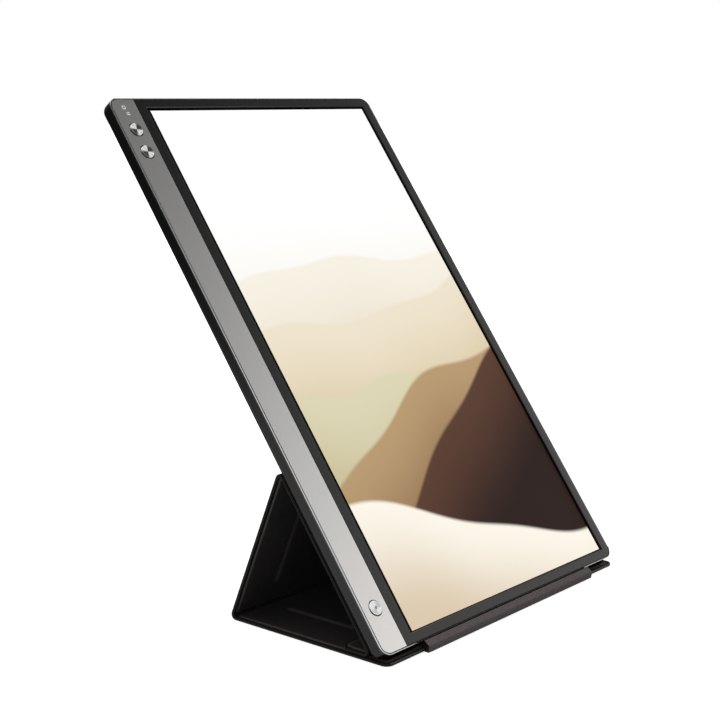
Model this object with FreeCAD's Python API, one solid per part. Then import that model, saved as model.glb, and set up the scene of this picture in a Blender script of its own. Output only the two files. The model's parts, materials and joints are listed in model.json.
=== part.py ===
import FreeCAD, Part
import math
import os

# Portable monitor standing on its folding cover, in millimetres.
# The origin is on the table under the middle of the object's box. +X is to the right seen from the
# screen's side, +Y is to the rear and +Z is up.
# In the screen frame X runs across from the body's left edge, Y up the screen from its lower edge,
# and a depth is measured backwards from the front face.
# In a panel frame X runs across, Y along the panel from its fold axis, and Z from the outer skin's
# face to the lining's.

V = FreeCAD.Vector

# Monitor body, leaning back from the upright
BODY_W = 207.0
BODY_H = 324.0
BODY_T = 9.0
BODY_CORNER_R = 5.0
BODY_BACK_R = 3.2
SIDE_WALL = 1.5
BACK_WALL = 1.2
LEAN_DEG = 35.6

# Front face: metal edge trim, control strip and bezel, all in one layer
FACE_T = 1.2
TRIM_W = 0.75
TRIM_CHAMFER = 0.6
STRIP_W = 16.6
STRIP_SEAM = 0.15
STRIP_CHAMFER = 0.3
SCREEN_LEFT = 24.7
SCREEN_BOTTOM = 5.9
BEZEL_RIGHT = 7.0
BEZEL_TOP = 6.3

# Display panel behind the bezel
PANEL_MARGIN = 3.6
TAPE_T = 0.3
TAPE_W = 2.6
CELL_T = 1.0
FILM_T = 0.4
GUIDE_T = 1.8
REFLECTOR_T = 0.2
FRAME_FLOOR = 0.4
FRAME_WALL = 0.6
SHEET_GAP = 0.3
LED_BAR_W = 1.6
PAD_W = 10.0
PAD_L = 50.0
PAD_PLACE_SHARES = ((0.12, 0.5), (0.88, 0.5), (0.12, 0.9), (0.88, 0.9), (0.5, 0.12))

# Circuit boards behind the control strip
PCB_T = 1.0
PCB_GAP = 0.9
MAIN_BOARD_L = 188.0
BUTTON_BOARD_L = 52.0
BOSS_R = 2.0
BOSS_H = 0.8
SCREW_R = 0.7
SCREW_HEAD_R = 1.6
SCREW_HEAD_T = 0.6
SCREW_BITE = 0.6
SCREW_FIT = 0.05
SCREW_INSET = 11.3
SCREW_SWITCH_GAP = 5.4
MAIN_SCREW_SHARES = (0.0, 0.6, 1.0)
BUTTON_SCREW_SHARES = (0.2, 0.82)
CHIP_W = 10.0
CHIP_T = 1.2
POWER_CHIP_W = 6.0
POWER_CHIP_T = 1.0
CHIP_SHARE = 0.3
POWER_CHIP_SHARE = 0.64
CONNECTOR_W = 5.0
CONNECTOR_L = 24.0
CONNECTOR_SHARE = 0.42
RIBBON_T = 0.2
DISPLAY_RIBBON_L = 20.0
RIBBON_PAD_GAP = 1.0
BUTTON_RIBBON_W = 4.0
BUTTON_RIBBON_INSET = 1.5
BUTTON_RIBBON_LAP = 6.0

# Buttons in the control strip, and the switches under them
BUTTON_LEFT = 9.3
BUTTON_R = 4.1
BUTTON_HOLE_GAP = 0.2
BUTTON_PROUD = 0.7
BUTTON_EDGE_R = 0.25
BUTTON_TRAVEL = 0.5
DISH_R = 3.4
DISH_FLOOR_R = 2.9
DISH_DEPTH = 0.2
FLANGE_R = 5.0
FLANGE_T = 0.6
FLANGE_GAP = 0.3
STEM_R = 1.3
STEM_IN = 1.0
STEM_GAP = 0.2
WELL_GAP = 0.3
SWITCH_W = 5.2
SWITCH_H = 2.6
LENS_R = 0.8
LENS_L = 1.0
MENU_FROM_TOP = 20.2
BUTTON_PITCH = 14.0
POWER_FROM_BOTTOM = 23.7

# USB-C inlet in the top wall, standing on the main board
USB_W = 8.94
USB_H = 3.26
USB_L = 7.3
USB_WALL = 0.3
USB_SET_BACK = 0.3
USB_SLOT_GAP = 0.2
TONGUE_W = 6.7
TONGUE_T = 0.7
TONGUE_L = 4.6
TONGUE_SET_BACK = 1.0

# Steel keepers inside the housing, for the magnets of the cover's back panel
KEEPER_W = 24.0
KEEPER_L = 66.0
KEEPER_T = 0.6

# Cover: skin, board and lining, folded three times
COVER_W = 205.0
SKIN_T = 0.5
STIFFENER_T = 1.0
LINING_T = 0.5
RIM_W = 3.0
STIFFENER_FIT = 0.2
FOLD_INNER_R = 1.0
FOLD_T = 1.2
STAND_DEPTH = 104.1
STRUT_DEG = 66.2
FLAP_L = 16.5
BASE_FRONT = 0.9
BASE_CORNER_R = 4.5
FLAP_CORNER_R = 7.0
MAGNET_GAP = 0.2
REST_GAP = 0.1
FLAP_GAP = 0.15

# Pressed lines in the lining, and the groove that takes the monitor's lower edge
CREASE_INSET = 27.0
CREASE_W = 2.6
CREASE_DEPTH = 0.3
CREASE_END_GAP = 13.0
GROOVE_W = 6.0
GROOVE_DEPTH = 0.35

# Magnets in the cover
DISC_R = 6.0
DISC_PLACE_SHARES = ((-0.3, 0.3), (0.3, 0.3), (-0.3, 0.75), (0.3, 0.75))
BAR_L = 30.0
BAR_W = 8.0
BAR_PLACE_SHARES = (-0.3, 0.0, 0.3)

# Lip along the base's front edge
LIP_L = 148.0
LIP_FRONT = 3.3
LIP_FRONT_H = 3.6
LIP_TOP_FRONT = 1.0
LIP_OVER = 0.4
LIP_HEEL = 0.6
LIP_HEEL_H = 1.6
LIP_LIFT = 0.1
LIP_SKIN_T = 0.5
LIP_END_R = 1.2

# Overrun of cutting tools past a face, the distance under which two places are the same, and how much
# of half a width the rounded end of a slot takes
OVERRUN = 1.0
SAME = 1e-6
ROUND_SHARE = 0.9

# Depths behind the front face
cell_front = FACE_T + TAPE_T
cell_back = cell_front + CELL_T
film_back = cell_back + FILM_T
guide_back = film_back + GUIDE_T
reflector_back = guide_back + REFLECTOR_T
frame_back = reflector_back + FRAME_FLOOR
floor_depth = BODY_T - BACK_WALL
pcb_back = floor_depth - BOSS_H
pcb_front = pcb_back - PCB_T
switch_top = pcb_front - SWITCH_H
flange_front = FACE_T + FLANGE_GAP
flange_back = flange_front + FLANGE_T

# Places across and up the screen
screen_right = BODY_W - BEZEL_RIGHT
screen_top = BODY_H - BEZEL_TOP
panel_left = SCREEN_LEFT - PANEL_MARGIN
panel_right = screen_right + PANEL_MARGIN
panel_bottom = SCREEN_BOTTOM - PANEL_MARGIN
panel_top = screen_top + PANEL_MARGIN
pad_left = panel_left + (panel_right - panel_left) * PAD_PLACE_SHARES[0][0] - PAD_W / 2
strip_right = TRIM_W + STRIP_W
pcb_left = SIDE_WALL + PCB_GAP
pcb_right = panel_left - PCB_GAP
pcb_middle = (pcb_left + pcb_right) / 2
pcb_corner_r = BODY_CORNER_R - SIDE_WALL - PCB_GAP
main_top = BODY_H - SIDE_WALL - PCB_GAP
main_bottom = main_top - MAIN_BOARD_L
small_bottom = SIDE_WALL + PCB_GAP
small_top = small_bottom + BUTTON_BOARD_L
menu_height = BODY_H - MENU_FROM_TOP
select_height = menu_height - BUTTON_PITCH
screw_low = main_bottom + SCREW_INSET
screw_high = select_height - SWITCH_W / 2 - SCREW_HEAD_R - SCREW_SWITCH_GAP

# Cover thicknesses and the distance of its outer skin from each fold axis
board_top = SKIN_T + STIFFENER_T
cover_t = board_top + LINING_T
fold_r = cover_t + FOLD_INNER_R

# Place of the screen frame: its lower edge hangs over the groove by the drop of the rounded back edge
lean = math.radians(LEAN_DEG)
edge_drop = BODY_BACK_R + (BODY_T - BODY_BACK_R) * math.sin(lean) - BODY_BACK_R * math.cos(lean)
screen_z = cover_t - GROOVE_DEPTH + REST_GAP + edge_drop
rear_reach = (BODY_H - BODY_BACK_R) * math.sin(lean) + (BODY_T - BODY_BACK_R) * math.cos(lean)
screen_y = (LIP_FRONT - rear_reach - BODY_BACK_R) / 2

# Fold axes, as points in the Y-Z plane
axis_depth = BODY_T + MAGNET_GAP + fold_r
strut_angle = 180 - STRUT_DEG
screen_angle = 90 - LEAN_DEG
back_angle = 180 + screen_angle
strut_turn = math.radians(strut_angle)
rear_axis = (screen_y + STAND_DEPTH, fold_r)
rear_depth = STAND_DEPTH * math.cos(lean) - (fold_r - screen_z) * math.sin(lean)
strut_l = (rear_depth - axis_depth) / math.cos(math.radians(STRUT_DEG - LEAN_DEG))
apex_axis = (rear_axis[0] + strut_l * math.cos(strut_turn), rear_axis[1] + strut_l * math.sin(strut_turn))
foot_z = cover_t + FLAP_GAP + fold_r
foot_height = (foot_z - screen_z + axis_depth * math.sin(lean)) / math.cos(lean)
foot_axis = (screen_y + foot_height * math.sin(lean) + axis_depth * math.cos(lean), foot_z)
back_l = (apex_axis[1] - foot_axis[1]) / math.cos(lean)
apex_height = foot_height + back_l
base_l = STAND_DEPTH + BASE_FRONT


def plate(x0, x1, y0, y1, z0, z1, radii=0.0):
    """Flat plate with one corner radius, or four: low X low Y first, then anticlockwise."""
    if not isinstance(radii, tuple):
        radii = (radii,) * 4
    corners = [V(x0, y0, z0), V(x1, y0, z0), V(x1, y1, z0), V(x0, y1, z0)]
    starts = []
    arcs = []
    ends = []
    for index, corner in enumerate(corners):
        before = (corners[index - 1] - corner).normalize() * radii[index]
        after = (corners[(index + 1) % 4] - corner).normalize() * radii[index]
        middle = corner + (before + after) * (1 - math.sqrt(0.5))
        starts.append(corner + before)
        ends.append(corner + after)
        arcs.append(middle)
    edges = []
    for index in range(4):
        if radii[index] > 0:
            edges.append(Part.Arc(starts[index], arcs[index], ends[index]).toShape())
        edges.append(Part.LineSegment(ends[index], starts[(index + 1) % 4]).toShape())
    return Part.Face(Part.Wire(edges)).extrude(V(0, 0, z1 - z0))


def screen_plate(left, right, bottom, top, front, back, radii=0.0):
    """Plate in the screen frame, between two depths behind the front face."""
    return plate(left - BODY_W / 2, right - BODY_W / 2, bottom, top, -back, -front, radii)


def screen_disc(radius, left, height, front, back):
    """Round plate in the screen frame, between two depths behind the front face."""
    return Part.makeCylinder(radius, back - front, V(left - BODY_W / 2, height, -back))


def edges_at(shape, z):
    """Edges that lie wholly at one height of the working frame."""
    return [edge for edge in shape.Edges if all(abs(end.Z - z) < SAME for end in edge.Vertexes)]


def placed(shape, y, z, angle):
    """Shape turned about X and moved to its place in the part's own frame."""
    turn = FreeCAD.Rotation(V(1, 0, 0), angle)
    return shape.transformed(FreeCAD.Placement(V(0, y, z), turn).toMatrix())


def export_screen(name, *shapes):
    """Write a piece that was drawn in the screen frame."""
    whole = shapes[0] if len(shapes) == 1 else Part.makeCompound(list(shapes))
    placed(whole, screen_y, screen_z, screen_angle).exportStep("parts/" + name + ".step")


def export_panel(name, axis, angle, *shapes):
    """Write a piece that was drawn in the frame of a cover panel."""
    whole = shapes[0] if len(shapes) == 1 else Part.makeCompound(list(shapes))
    whole = whole.translated(V(0, 0, -fold_r))
    placed(whole, axis[0], axis[1], angle).exportStep("parts/" + name + ".step")


def screw_places():
    """Screw centres: the main board's, then the button board's."""
    places = [(pcb_middle, screw_low + (screw_high - screw_low) * share) for share in MAIN_SCREW_SHARES]
    places += [(pcb_middle, small_bottom + BUTTON_BOARD_L * share) for share in BUTTON_SCREW_SHARES]
    return places


def button_heights():
    """Heights of the menu, select and power buttons."""
    return (menu_height, select_height, POWER_FROM_BOTTOM)


def rear_housing():
    """Moulded tray with rounded back edges, board bosses and the inlet's slot."""
    outer = screen_plate(0, BODY_W, 0, BODY_H, FACE_T, BODY_T, BODY_CORNER_R)
    outer = outer.makeFillet(BODY_BACK_R, edges_at(outer, -BODY_T))
    hollow = screen_plate(SIDE_WALL, BODY_W - SIDE_WALL, SIDE_WALL, BODY_H - SIDE_WALL,
                          FACE_T - OVERRUN, floor_depth, BODY_CORNER_R - SIDE_WALL)
    hollow = hollow.makeFillet(BODY_BACK_R - BACK_WALL, edges_at(hollow, -floor_depth))
    bosses = [screen_disc(BOSS_R, left, height, pcb_back, floor_depth) for left, height in screw_places()]
    screw_end = floor_depth + SCREW_BITE + SCREW_FIT
    holes = [screen_disc(SCREW_R + SCREW_FIT, left, height, pcb_back - OVERRUN, screw_end)
             for left, height in screw_places()]
    slot = inlet_block(USB_SLOT_GAP, BODY_H - SIDE_WALL - OVERRUN, BODY_H + OVERRUN)
    return outer.cut(hollow).fuse(bosses).cut(holes + [slot])


def edge_trim():
    """Thin metal ring round the front face, with a bright chamfer outside."""
    outer = screen_plate(0, BODY_W, 0, BODY_H, 0, FACE_T, BODY_CORNER_R)
    outer = outer.makeChamfer(TRIM_CHAMFER, edges_at(outer, 0))
    inner = screen_plate(TRIM_W, BODY_W - TRIM_W, TRIM_W, BODY_H - TRIM_W,
                         -OVERRUN, FACE_T + OVERRUN, BODY_CORNER_R - TRIM_W)
    return outer.cut(inner)


def control_strip():
    """Metal strip down the left side, with a hole for each button."""
    corner = BODY_CORNER_R - TRIM_W
    strip = screen_plate(TRIM_W, strip_right, TRIM_W, BODY_H - TRIM_W, 0, FACE_T, (corner, 0, 0, corner))
    strip = strip.makeChamfer(STRIP_CHAMFER, edges_at(strip, 0))
    holes = [screen_disc(BUTTON_R + BUTTON_HOLE_GAP, BUTTON_LEFT, height, -OVERRUN, FACE_T + OVERRUN)
             for height in button_heights()]
    return strip.cut(holes)


def front_bezel():
    """Frame round the lit area, from the control strip to the other three edges."""
    corner = BODY_CORNER_R - TRIM_W
    frame = screen_plate(strip_right + STRIP_SEAM, BODY_W - TRIM_W, TRIM_W, BODY_H - TRIM_W,
                         0, FACE_T, (0, corner, corner, 0))
    return frame.cut(window(0, -OVERRUN, FACE_T + OVERRUN))


def window(margin, front, back):
    """Block over the lit area, wider by a margin on every side."""
    return screen_plate(SCREEN_LEFT - margin, screen_right + margin,
                        SCREEN_BOTTOM - margin, screen_top + margin, front, back)


def bezel_tape():
    """Adhesive ring between the bezel and the display cell."""
    ring = window(PANEL_MARGIN, FACE_T, cell_front)
    return ring.cut(window(PANEL_MARGIN - TAPE_W, FACE_T - OVERRUN, cell_front + OVERRUN))


def panel_frame():
    """Shallow metal tray that holds the backlight."""
    tray = window(PANEL_MARGIN, cell_back, frame_back)
    return tray.cut(window(PANEL_MARGIN - FRAME_WALL, cell_back - OVERRUN, reflector_back))


def backlight_sheet(front, back):
    """Sheet inside the panel frame, beside the LED bar."""
    inset = FRAME_WALL + SHEET_GAP
    return screen_plate(panel_left + inset + LED_BAR_W + SHEET_GAP, panel_right - inset,
                        panel_bottom + inset, panel_top - inset, front, back)


def led_bar():
    """Row of light sources along the light guide's left edge, as one bar."""
    inset = FRAME_WALL + SHEET_GAP
    return screen_plate(panel_left + inset, panel_left + inset + LED_BAR_W,
                        panel_bottom + inset, panel_top - inset, film_back, reflector_back)


def panel_pads():
    """Foam strips between the display panel and the housing's floor."""
    pads = []
    for across, up in PAD_PLACE_SHARES:
        left = panel_left + (panel_right - panel_left) * across - PAD_W / 2
        bottom = panel_bottom + (panel_top - panel_bottom) * up - PAD_L / 2
        pads.append(screen_plate(left, left + PAD_W, bottom, bottom + PAD_L, frame_back, floor_depth))
    return pads


def circuit_board(bottom, top):
    """Board on its bosses, drilled for its screws."""
    board = screen_plate(pcb_left, pcb_right, bottom, top, pcb_front, pcb_back, pcb_corner_r)
    holes = [screen_disc(SCREW_R + SCREW_FIT, left, height, pcb_front - OVERRUN, pcb_back + OVERRUN)
             for left, height in screw_places()]
    return board.cut(holes)


def board_screw(left, height):
    """Screw through a board into its boss."""
    head = screen_disc(SCREW_HEAD_R, left, height, pcb_front - SCREW_HEAD_T, pcb_front)
    shank = screen_disc(SCREW_R, left, height, pcb_front, floor_depth + SCREW_BITE)
    return head.fuse(shank)


def square_chip(width, thickness, share):
    """Chip on the main board's middle line, at a share of its length."""
    height = main_bottom + MAIN_BOARD_L * share
    return screen_plate(pcb_middle - width / 2, pcb_middle + width / 2, height - width / 2,
                        height + width / 2, pcb_front - thickness, pcb_front)


def connector_height():
    """Height up the screen of the display connector and its ribbon."""
    return main_bottom + MAIN_BOARD_L * CONNECTOR_SHARE


def display_connector():
    """Connector on the main board's edge, just under the display ribbon."""
    middle = connector_height()
    return screen_plate(pcb_right - CONNECTOR_W, pcb_right, middle - CONNECTOR_L / 2,
                        middle + CONNECTOR_L / 2, frame_back + RIBBON_T, pcb_front)


def display_ribbon():
    """Flat cable from the connector along the back of the display panel."""
    middle = connector_height()
    return screen_plate(pcb_right - CONNECTOR_W, pad_left - RIBBON_PAD_GAP,
                        middle - DISPLAY_RIBBON_L / 2, middle + DISPLAY_RIBBON_L / 2,
                        frame_back, frame_back + RIBBON_T)


def button_ribbon():
    """Flat cable from the button board up to the main board."""
    left = pcb_left + BUTTON_RIBBON_INSET
    return screen_plate(left, left + BUTTON_RIBBON_W, small_top - BUTTON_RIBBON_LAP,
                        main_bottom + BUTTON_RIBBON_LAP, pcb_front - RIBBON_T, pcb_front)


def tact_switch(height):
    """Switch body with a well for the button's stem."""
    half = SWITCH_W / 2
    body = screen_plate(BUTTON_LEFT - half, BUTTON_LEFT + half, height - half, height + half,
                        switch_top, pcb_front)
    well_end = switch_top + STEM_IN + BUTTON_TRAVEL + STEM_GAP
    return body.cut(screen_disc(STEM_R + WELL_GAP, BUTTON_LEFT, height, switch_top - OVERRUN, well_end))


def button(height):
    """Dished metal cap with a flange behind the strip and a stem down to its switch."""
    cap = screen_disc(BUTTON_R, BUTTON_LEFT, height, -BUTTON_PROUD, flange_front)
    cap = cap.makeFillet(BUTTON_EDGE_R, edges_at(cap, BUTTON_PROUD))
    dish = Part.makeCone(DISH_FLOOR_R, DISH_R, DISH_DEPTH,
                         V(BUTTON_LEFT - BODY_W / 2, height, BUTTON_PROUD - DISH_DEPTH))
    flange = screen_disc(FLANGE_R, BUTTON_LEFT, height, flange_front, flange_back)
    stem = screen_disc(STEM_R, BUTTON_LEFT, height, flange_back, switch_top + STEM_IN)
    return cap.cut(dish).fuse([flange, stem])


def power_lens():
    """Clear plug in the middle of the power button, flush with its dish."""
    front = DISH_DEPTH - BUTTON_PROUD
    return screen_disc(LENS_R, BUTTON_LEFT, POWER_FROM_BOTTOM, front, front + LENS_L)


def inlet_block(margin, bottom, top):
    """Block of the inlet's outline, wider by a margin, between two heights up the screen."""
    half = USB_W / 2 + margin
    front = pcb_front - USB_H - margin
    block = screen_plate(pcb_middle - half, pcb_middle + half, bottom, top, front, pcb_front + margin)
    long_edges = [edge for edge in block.Edges
                  if abs(edge.Vertexes[0].Y - edge.Vertexes[1].Y) > (top - bottom) / 2]
    return block.makeFillet((USB_H / 2 + margin) * ROUND_SHARE, long_edges)


def usb_shell():
    """Open metal sleeve of the inlet."""
    top = BODY_H - USB_SET_BACK
    sleeve = inlet_block(0, top - USB_L, top)
    return sleeve.cut(inlet_block(-USB_WALL, top - USB_L - OVERRUN, top + OVERRUN))


def usb_tongue():
    """Contact tongue on the block that closes the sleeve's inner end."""
    top = BODY_H - USB_SET_BACK
    tongue_top = top - TONGUE_SET_BACK
    block_top = tongue_top - TONGUE_L
    block = inlet_block(-USB_WALL, top - USB_L, block_top)
    middle = pcb_front - USB_H / 2
    tongue = screen_plate(pcb_middle - TONGUE_W / 2, pcb_middle + TONGUE_W / 2, block_top, tongue_top,
                          middle - TONGUE_T / 2, middle + TONGUE_T / 2)
    return block.fuse(tongue)


def disc_places():
    """Magnet centres in the back panel: across, and along it from the apex fold."""
    return [(COVER_W * across, back_l * along) for across, along in DISC_PLACE_SHARES]


def keeper_plates():
    """Two steel plates on the housing's floor, each behind one column of magnets."""
    columns = sorted({across for across, along in disc_places()})
    rows = [along for across, along in disc_places()]
    bottom = apex_height - sum(rows) / len(rows) - KEEPER_L / 2
    plates = []
    for across in columns:
        left = BODY_W / 2 + across - KEEPER_W / 2
        plates.append(screen_plate(left, left + KEEPER_W, bottom, bottom + KEEPER_L,
                                   floor_depth - KEEPER_T, floor_depth))
    return plates


def cover_skin(start, end, radii=0.0):
    """Outer skin with its thick rim, open above for the board."""
    half = COVER_W / 2
    inner = half - RIM_W
    sheet = plate(-half, half, start, end, 0, board_top, radii)
    return sheet.cut(plate(-inner, inner, start + RIM_W, end - RIM_W, SKIN_T, board_top + OVERRUN))


def cover_board(start, end, holes):
    """Stiff board inside the skin's rim, cut out for magnets."""
    edge = RIM_W + STIFFENER_FIT
    half = COVER_W / 2 - edge
    board = plate(-half, half, start + edge, end - edge, SKIN_T, board_top)
    return board.cut(holes) if holes else board


def cover_lining(start, end, marks, radii=0.0):
    """Inner lining over the board and rim, with its pressed marks."""
    half = COVER_W / 2
    sheet = plate(-half, half, start, end, board_top, cover_t, radii)
    return sheet.cut(marks) if marks else sheet


def creases(start, end):
    """Pair of pressed lines along a panel, one near each side."""
    lines = []
    for side in (-1, 1):
        middle = side * (COVER_W / 2 - CREASE_INSET)
        lines.append(plate(middle - CREASE_W / 2, middle + CREASE_W / 2, start, end,
                           cover_t - CREASE_DEPTH, cover_t + OVERRUN, CREASE_W * ROUND_SHARE / 2))
    return lines


def rest_groove():
    """Shallow groove across the base lining, under the monitor's lowest edge."""
    lowest = BODY_BACK_R * math.sin(lean) + (BODY_T - BODY_BACK_R) * math.cos(lean)
    middle = lowest - STAND_DEPTH
    return plate(-COVER_W, COVER_W, middle - GROOVE_W / 2, middle + GROOVE_W / 2,
                 cover_t - GROOVE_DEPTH, cover_t + OVERRUN)


def disc_magnet(across, along):
    """Round magnet as thick as the board."""
    return Part.makeCylinder(DISC_R, STIFFENER_T, V(across, along, SKIN_T))


def bar_magnets(along):
    """Row of bar magnets as thick as the board."""
    bars = []
    for share in BAR_PLACE_SHARES:
        across = COVER_W * share
        bars.append(plate(across - BAR_L / 2, across + BAR_L / 2, along - BAR_W / 2, along + BAR_W / 2,
                          SKIN_T, board_top))
    return bars


def fold_strip(axis, start_angle, end_angle):
    """Bent strip of skin and lining round a fold axis, between two outward directions."""
    section = Part.makePlane(COVER_W, FOLD_T, V(-COVER_W / 2, fold_r - FOLD_T, 0))
    strip = section.revolve(V(0, 0, 0), V(1, 0, 0), end_angle - start_angle)
    return placed(strip, axis[0], axis[1], start_angle)


def lip_outline(inset):
    """Section of the lip, in Y and Z of the part's frame, moved inwards by an inset."""
    front = screen_y - LIP_FRONT
    base_edge = screen_y - BASE_FRONT
    top = screen_z + LIP_OVER
    points = [(front, LIP_LIFT), (front, LIP_FRONT_H), (screen_y - LIP_TOP_FRONT, top),
              (screen_y + LIP_HEEL, cover_t + LIP_HEEL_H), (screen_y + LIP_HEEL, cover_t),
              (base_edge, cover_t), (base_edge, LIP_LIFT)]
    wire = Part.makePolygon([V(0, y, z) for y, z in points + points[:1]])
    return wire.makeOffset2D(-inset) if inset else wire


def lip_bar(inset):
    """Bar of the lip's section, shortened at both ends by the inset."""
    length = LIP_L - 2 * inset
    bar = Part.Face(lip_outline(inset)).extrude(V(length, 0, 0))
    return bar.translated(V(-length / 2, 0, 0))


def lip_skin():
    """Wrap round the lip's core, with its two front corners rounded."""
    bar = lip_bar(0)
    front = screen_y - LIP_FRONT
    corners = [edge for edge in bar.Edges
               if all(abs(end.Y - front) < SAME for end in edge.Vertexes)
               and abs(edge.Vertexes[0].X - edge.Vertexes[1].X) < SAME]
    return bar.makeFillet(LIP_END_R, corners).cut(lip_bar(LIP_SKIN_T))


def build_monitor():
    """Write every piece of the monitor."""
    export_screen("rear_housing", rear_housing())
    export_screen("edge_trim", edge_trim())
    export_screen("control_strip", control_strip())
    export_screen("front_bezel", front_bezel())
    export_screen("bezel_tape", bezel_tape())
    export_screen("display_cell", window(PANEL_MARGIN, cell_front, cell_back))
    export_screen("optical_films", backlight_sheet(cell_back, film_back))
    export_screen("light_guide", backlight_sheet(film_back, guide_back))
    export_screen("reflector_sheet", backlight_sheet(guide_back, reflector_back))
    export_screen("panel_frame", panel_frame())
    export_screen("led_bar", led_bar())
    export_screen("panel_pads", *panel_pads())
    export_screen("main_board", circuit_board(main_bottom, main_top))
    export_screen("button_board", circuit_board(small_bottom, small_top))
    export_screen("board_screws", *[board_screw(left, height) for left, height in screw_places()])
    export_screen("board_chips", square_chip(CHIP_W, CHIP_T, CHIP_SHARE),
                  square_chip(POWER_CHIP_W, POWER_CHIP_T, POWER_CHIP_SHARE), display_connector())
    export_screen("display_ribbon", display_ribbon())
    export_screen("button_ribbon", button_ribbon())
    export_screen("tact_switches", *[tact_switch(height) for height in button_heights()])
    export_screen("usb_shell", usb_shell())
    export_screen("usb_tongue", usb_tongue())
    export_screen("keeper_plates", *keeper_plates())
    export_screen("menu_button", button(menu_height))
    export_screen("select_button", button(select_height))
    export_screen("power_button", button(POWER_FROM_BOTTOM).cut(power_lens()))
    export_screen("power_lens", power_lens())


def build_cover():
    """Write every piece of the cover."""
    flap_bar = FLAP_L / 2
    base_bar = foot_axis[0] + flap_bar - rear_axis[0]
    base_marks = creases(base_bar + flap_bar + CREASE_END_GAP, -CREASE_END_GAP) + [rest_groove()]
    front_radii = (BASE_CORNER_R, BASE_CORNER_R, 0, 0)
    export_panel("base_skin", rear_axis, 0, cover_skin(-base_l, 0, front_radii))
    export_panel("base_board", rear_axis, 0, cover_board(-base_l, 0, bar_magnets(base_bar)))
    export_panel("base_lining", rear_axis, 0, cover_lining(-base_l, 0, base_marks, front_radii))
    export_panel("base_magnets", rear_axis, 0, *bar_magnets(base_bar))

    strut_marks = creases(CREASE_END_GAP, strut_l - CREASE_END_GAP)
    export_panel("strut_skin", rear_axis, strut_angle, cover_skin(0, strut_l))
    export_panel("strut_board", rear_axis, strut_angle, cover_board(0, strut_l, []))
    export_panel("strut_lining", rear_axis, strut_angle, cover_lining(0, strut_l, strut_marks))

    discs = [disc_magnet(across, along) for across, along in disc_places()]
    export_panel("back_skin", apex_axis, back_angle, cover_skin(0, back_l))
    export_panel("back_board", apex_axis, back_angle, cover_board(0, back_l, discs))
    export_panel("back_lining", apex_axis, back_angle, cover_lining(0, back_l, []))
    export_panel("back_magnets", apex_axis, back_angle, *discs)

    flap_radii = (0, 0, FLAP_CORNER_R, FLAP_CORNER_R)
    export_panel("flap_skin", foot_axis, 0, cover_skin(0, FLAP_L, flap_radii))
    export_panel("flap_board", foot_axis, 0, cover_board(0, FLAP_L, bar_magnets(flap_bar)))
    export_panel("flap_lining", foot_axis, 0, cover_lining(0, FLAP_L, [], flap_radii))
    export_panel("flap_magnets", foot_axis, 0, *bar_magnets(flap_bar))

    strut_out = strut_angle - 90
    back_out = back_angle - 90
    fold_strip(rear_axis, -90, strut_out).exportStep("parts/rear_fold.step")
    fold_strip(apex_axis, strut_out, back_out).exportStep("parts/apex_fold.step")
    fold_strip(foot_axis, back_out, 270).exportStep("parts/foot_fold.step")

    lip_bar(LIP_SKIN_T).exportStep("parts/lip_core.step")
    lip_skin().exportStep("parts/lip_skin.step")


os.makedirs("parts", exist_ok=True)
build_monitor()
build_cover()
print("screen frame at", screen_y, screen_z)
print("rear axis", rear_axis, "apex axis", apex_axis, "foot axis", foot_axis)
print("strut length", strut_l, "back panel length", back_l, "base length", base_l)
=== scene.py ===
import json
import math
from functools import partial

import bmesh
import bpy
from bpy.props import FloatProperty, FloatVectorProperty, IntProperty, PointerProperty
from mathutils import Matrix, Vector


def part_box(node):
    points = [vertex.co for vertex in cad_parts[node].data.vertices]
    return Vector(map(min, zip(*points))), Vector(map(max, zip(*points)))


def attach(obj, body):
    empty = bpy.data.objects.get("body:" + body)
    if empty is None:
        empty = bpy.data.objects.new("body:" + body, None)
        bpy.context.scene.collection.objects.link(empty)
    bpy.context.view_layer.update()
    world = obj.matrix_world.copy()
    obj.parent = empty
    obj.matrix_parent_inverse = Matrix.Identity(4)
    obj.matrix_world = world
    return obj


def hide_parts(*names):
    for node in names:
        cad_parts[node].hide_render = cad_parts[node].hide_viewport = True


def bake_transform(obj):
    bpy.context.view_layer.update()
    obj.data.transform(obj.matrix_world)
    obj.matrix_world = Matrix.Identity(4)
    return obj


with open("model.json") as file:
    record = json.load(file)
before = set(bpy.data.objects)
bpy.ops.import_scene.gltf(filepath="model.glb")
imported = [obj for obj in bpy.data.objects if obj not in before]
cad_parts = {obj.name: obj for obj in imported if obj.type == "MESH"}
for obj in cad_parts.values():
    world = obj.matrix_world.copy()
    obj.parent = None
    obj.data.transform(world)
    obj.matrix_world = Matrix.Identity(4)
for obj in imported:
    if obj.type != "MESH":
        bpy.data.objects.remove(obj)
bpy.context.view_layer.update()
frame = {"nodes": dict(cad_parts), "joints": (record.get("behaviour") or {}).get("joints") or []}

bl_info = {
    "name": "Portable monitor with folding cover",
    "version": (1, 0, 0),
    "blender": (4, 5, 0),
    "location": "View3D > Sidebar > Monitor",
    "description": "Dresses the packed monitor and its folding cover, and sets a studio round them",
    "category": "Object",
}

MM = 0.001
NEAR = 1e-6
WELD = 0.002 * MM
JOINTS = {joint["name"]: joint for joint in frame["joints"]}

# Place of the screen frame: X across from the middle, Y up the screen from its lower front edge,
# and Z out of the screen, turned about X as far as the monitor leans
SCREEN_EDGE = Vector((0, -95.6805, 5.7244)) * MM
SCREEN_OUT = Vector(JOINTS["monitor_lift"]["axis"])
SCREEN_TURN = math.atan2(-SCREEN_OUT.y, SCREEN_OUT.z)

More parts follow.
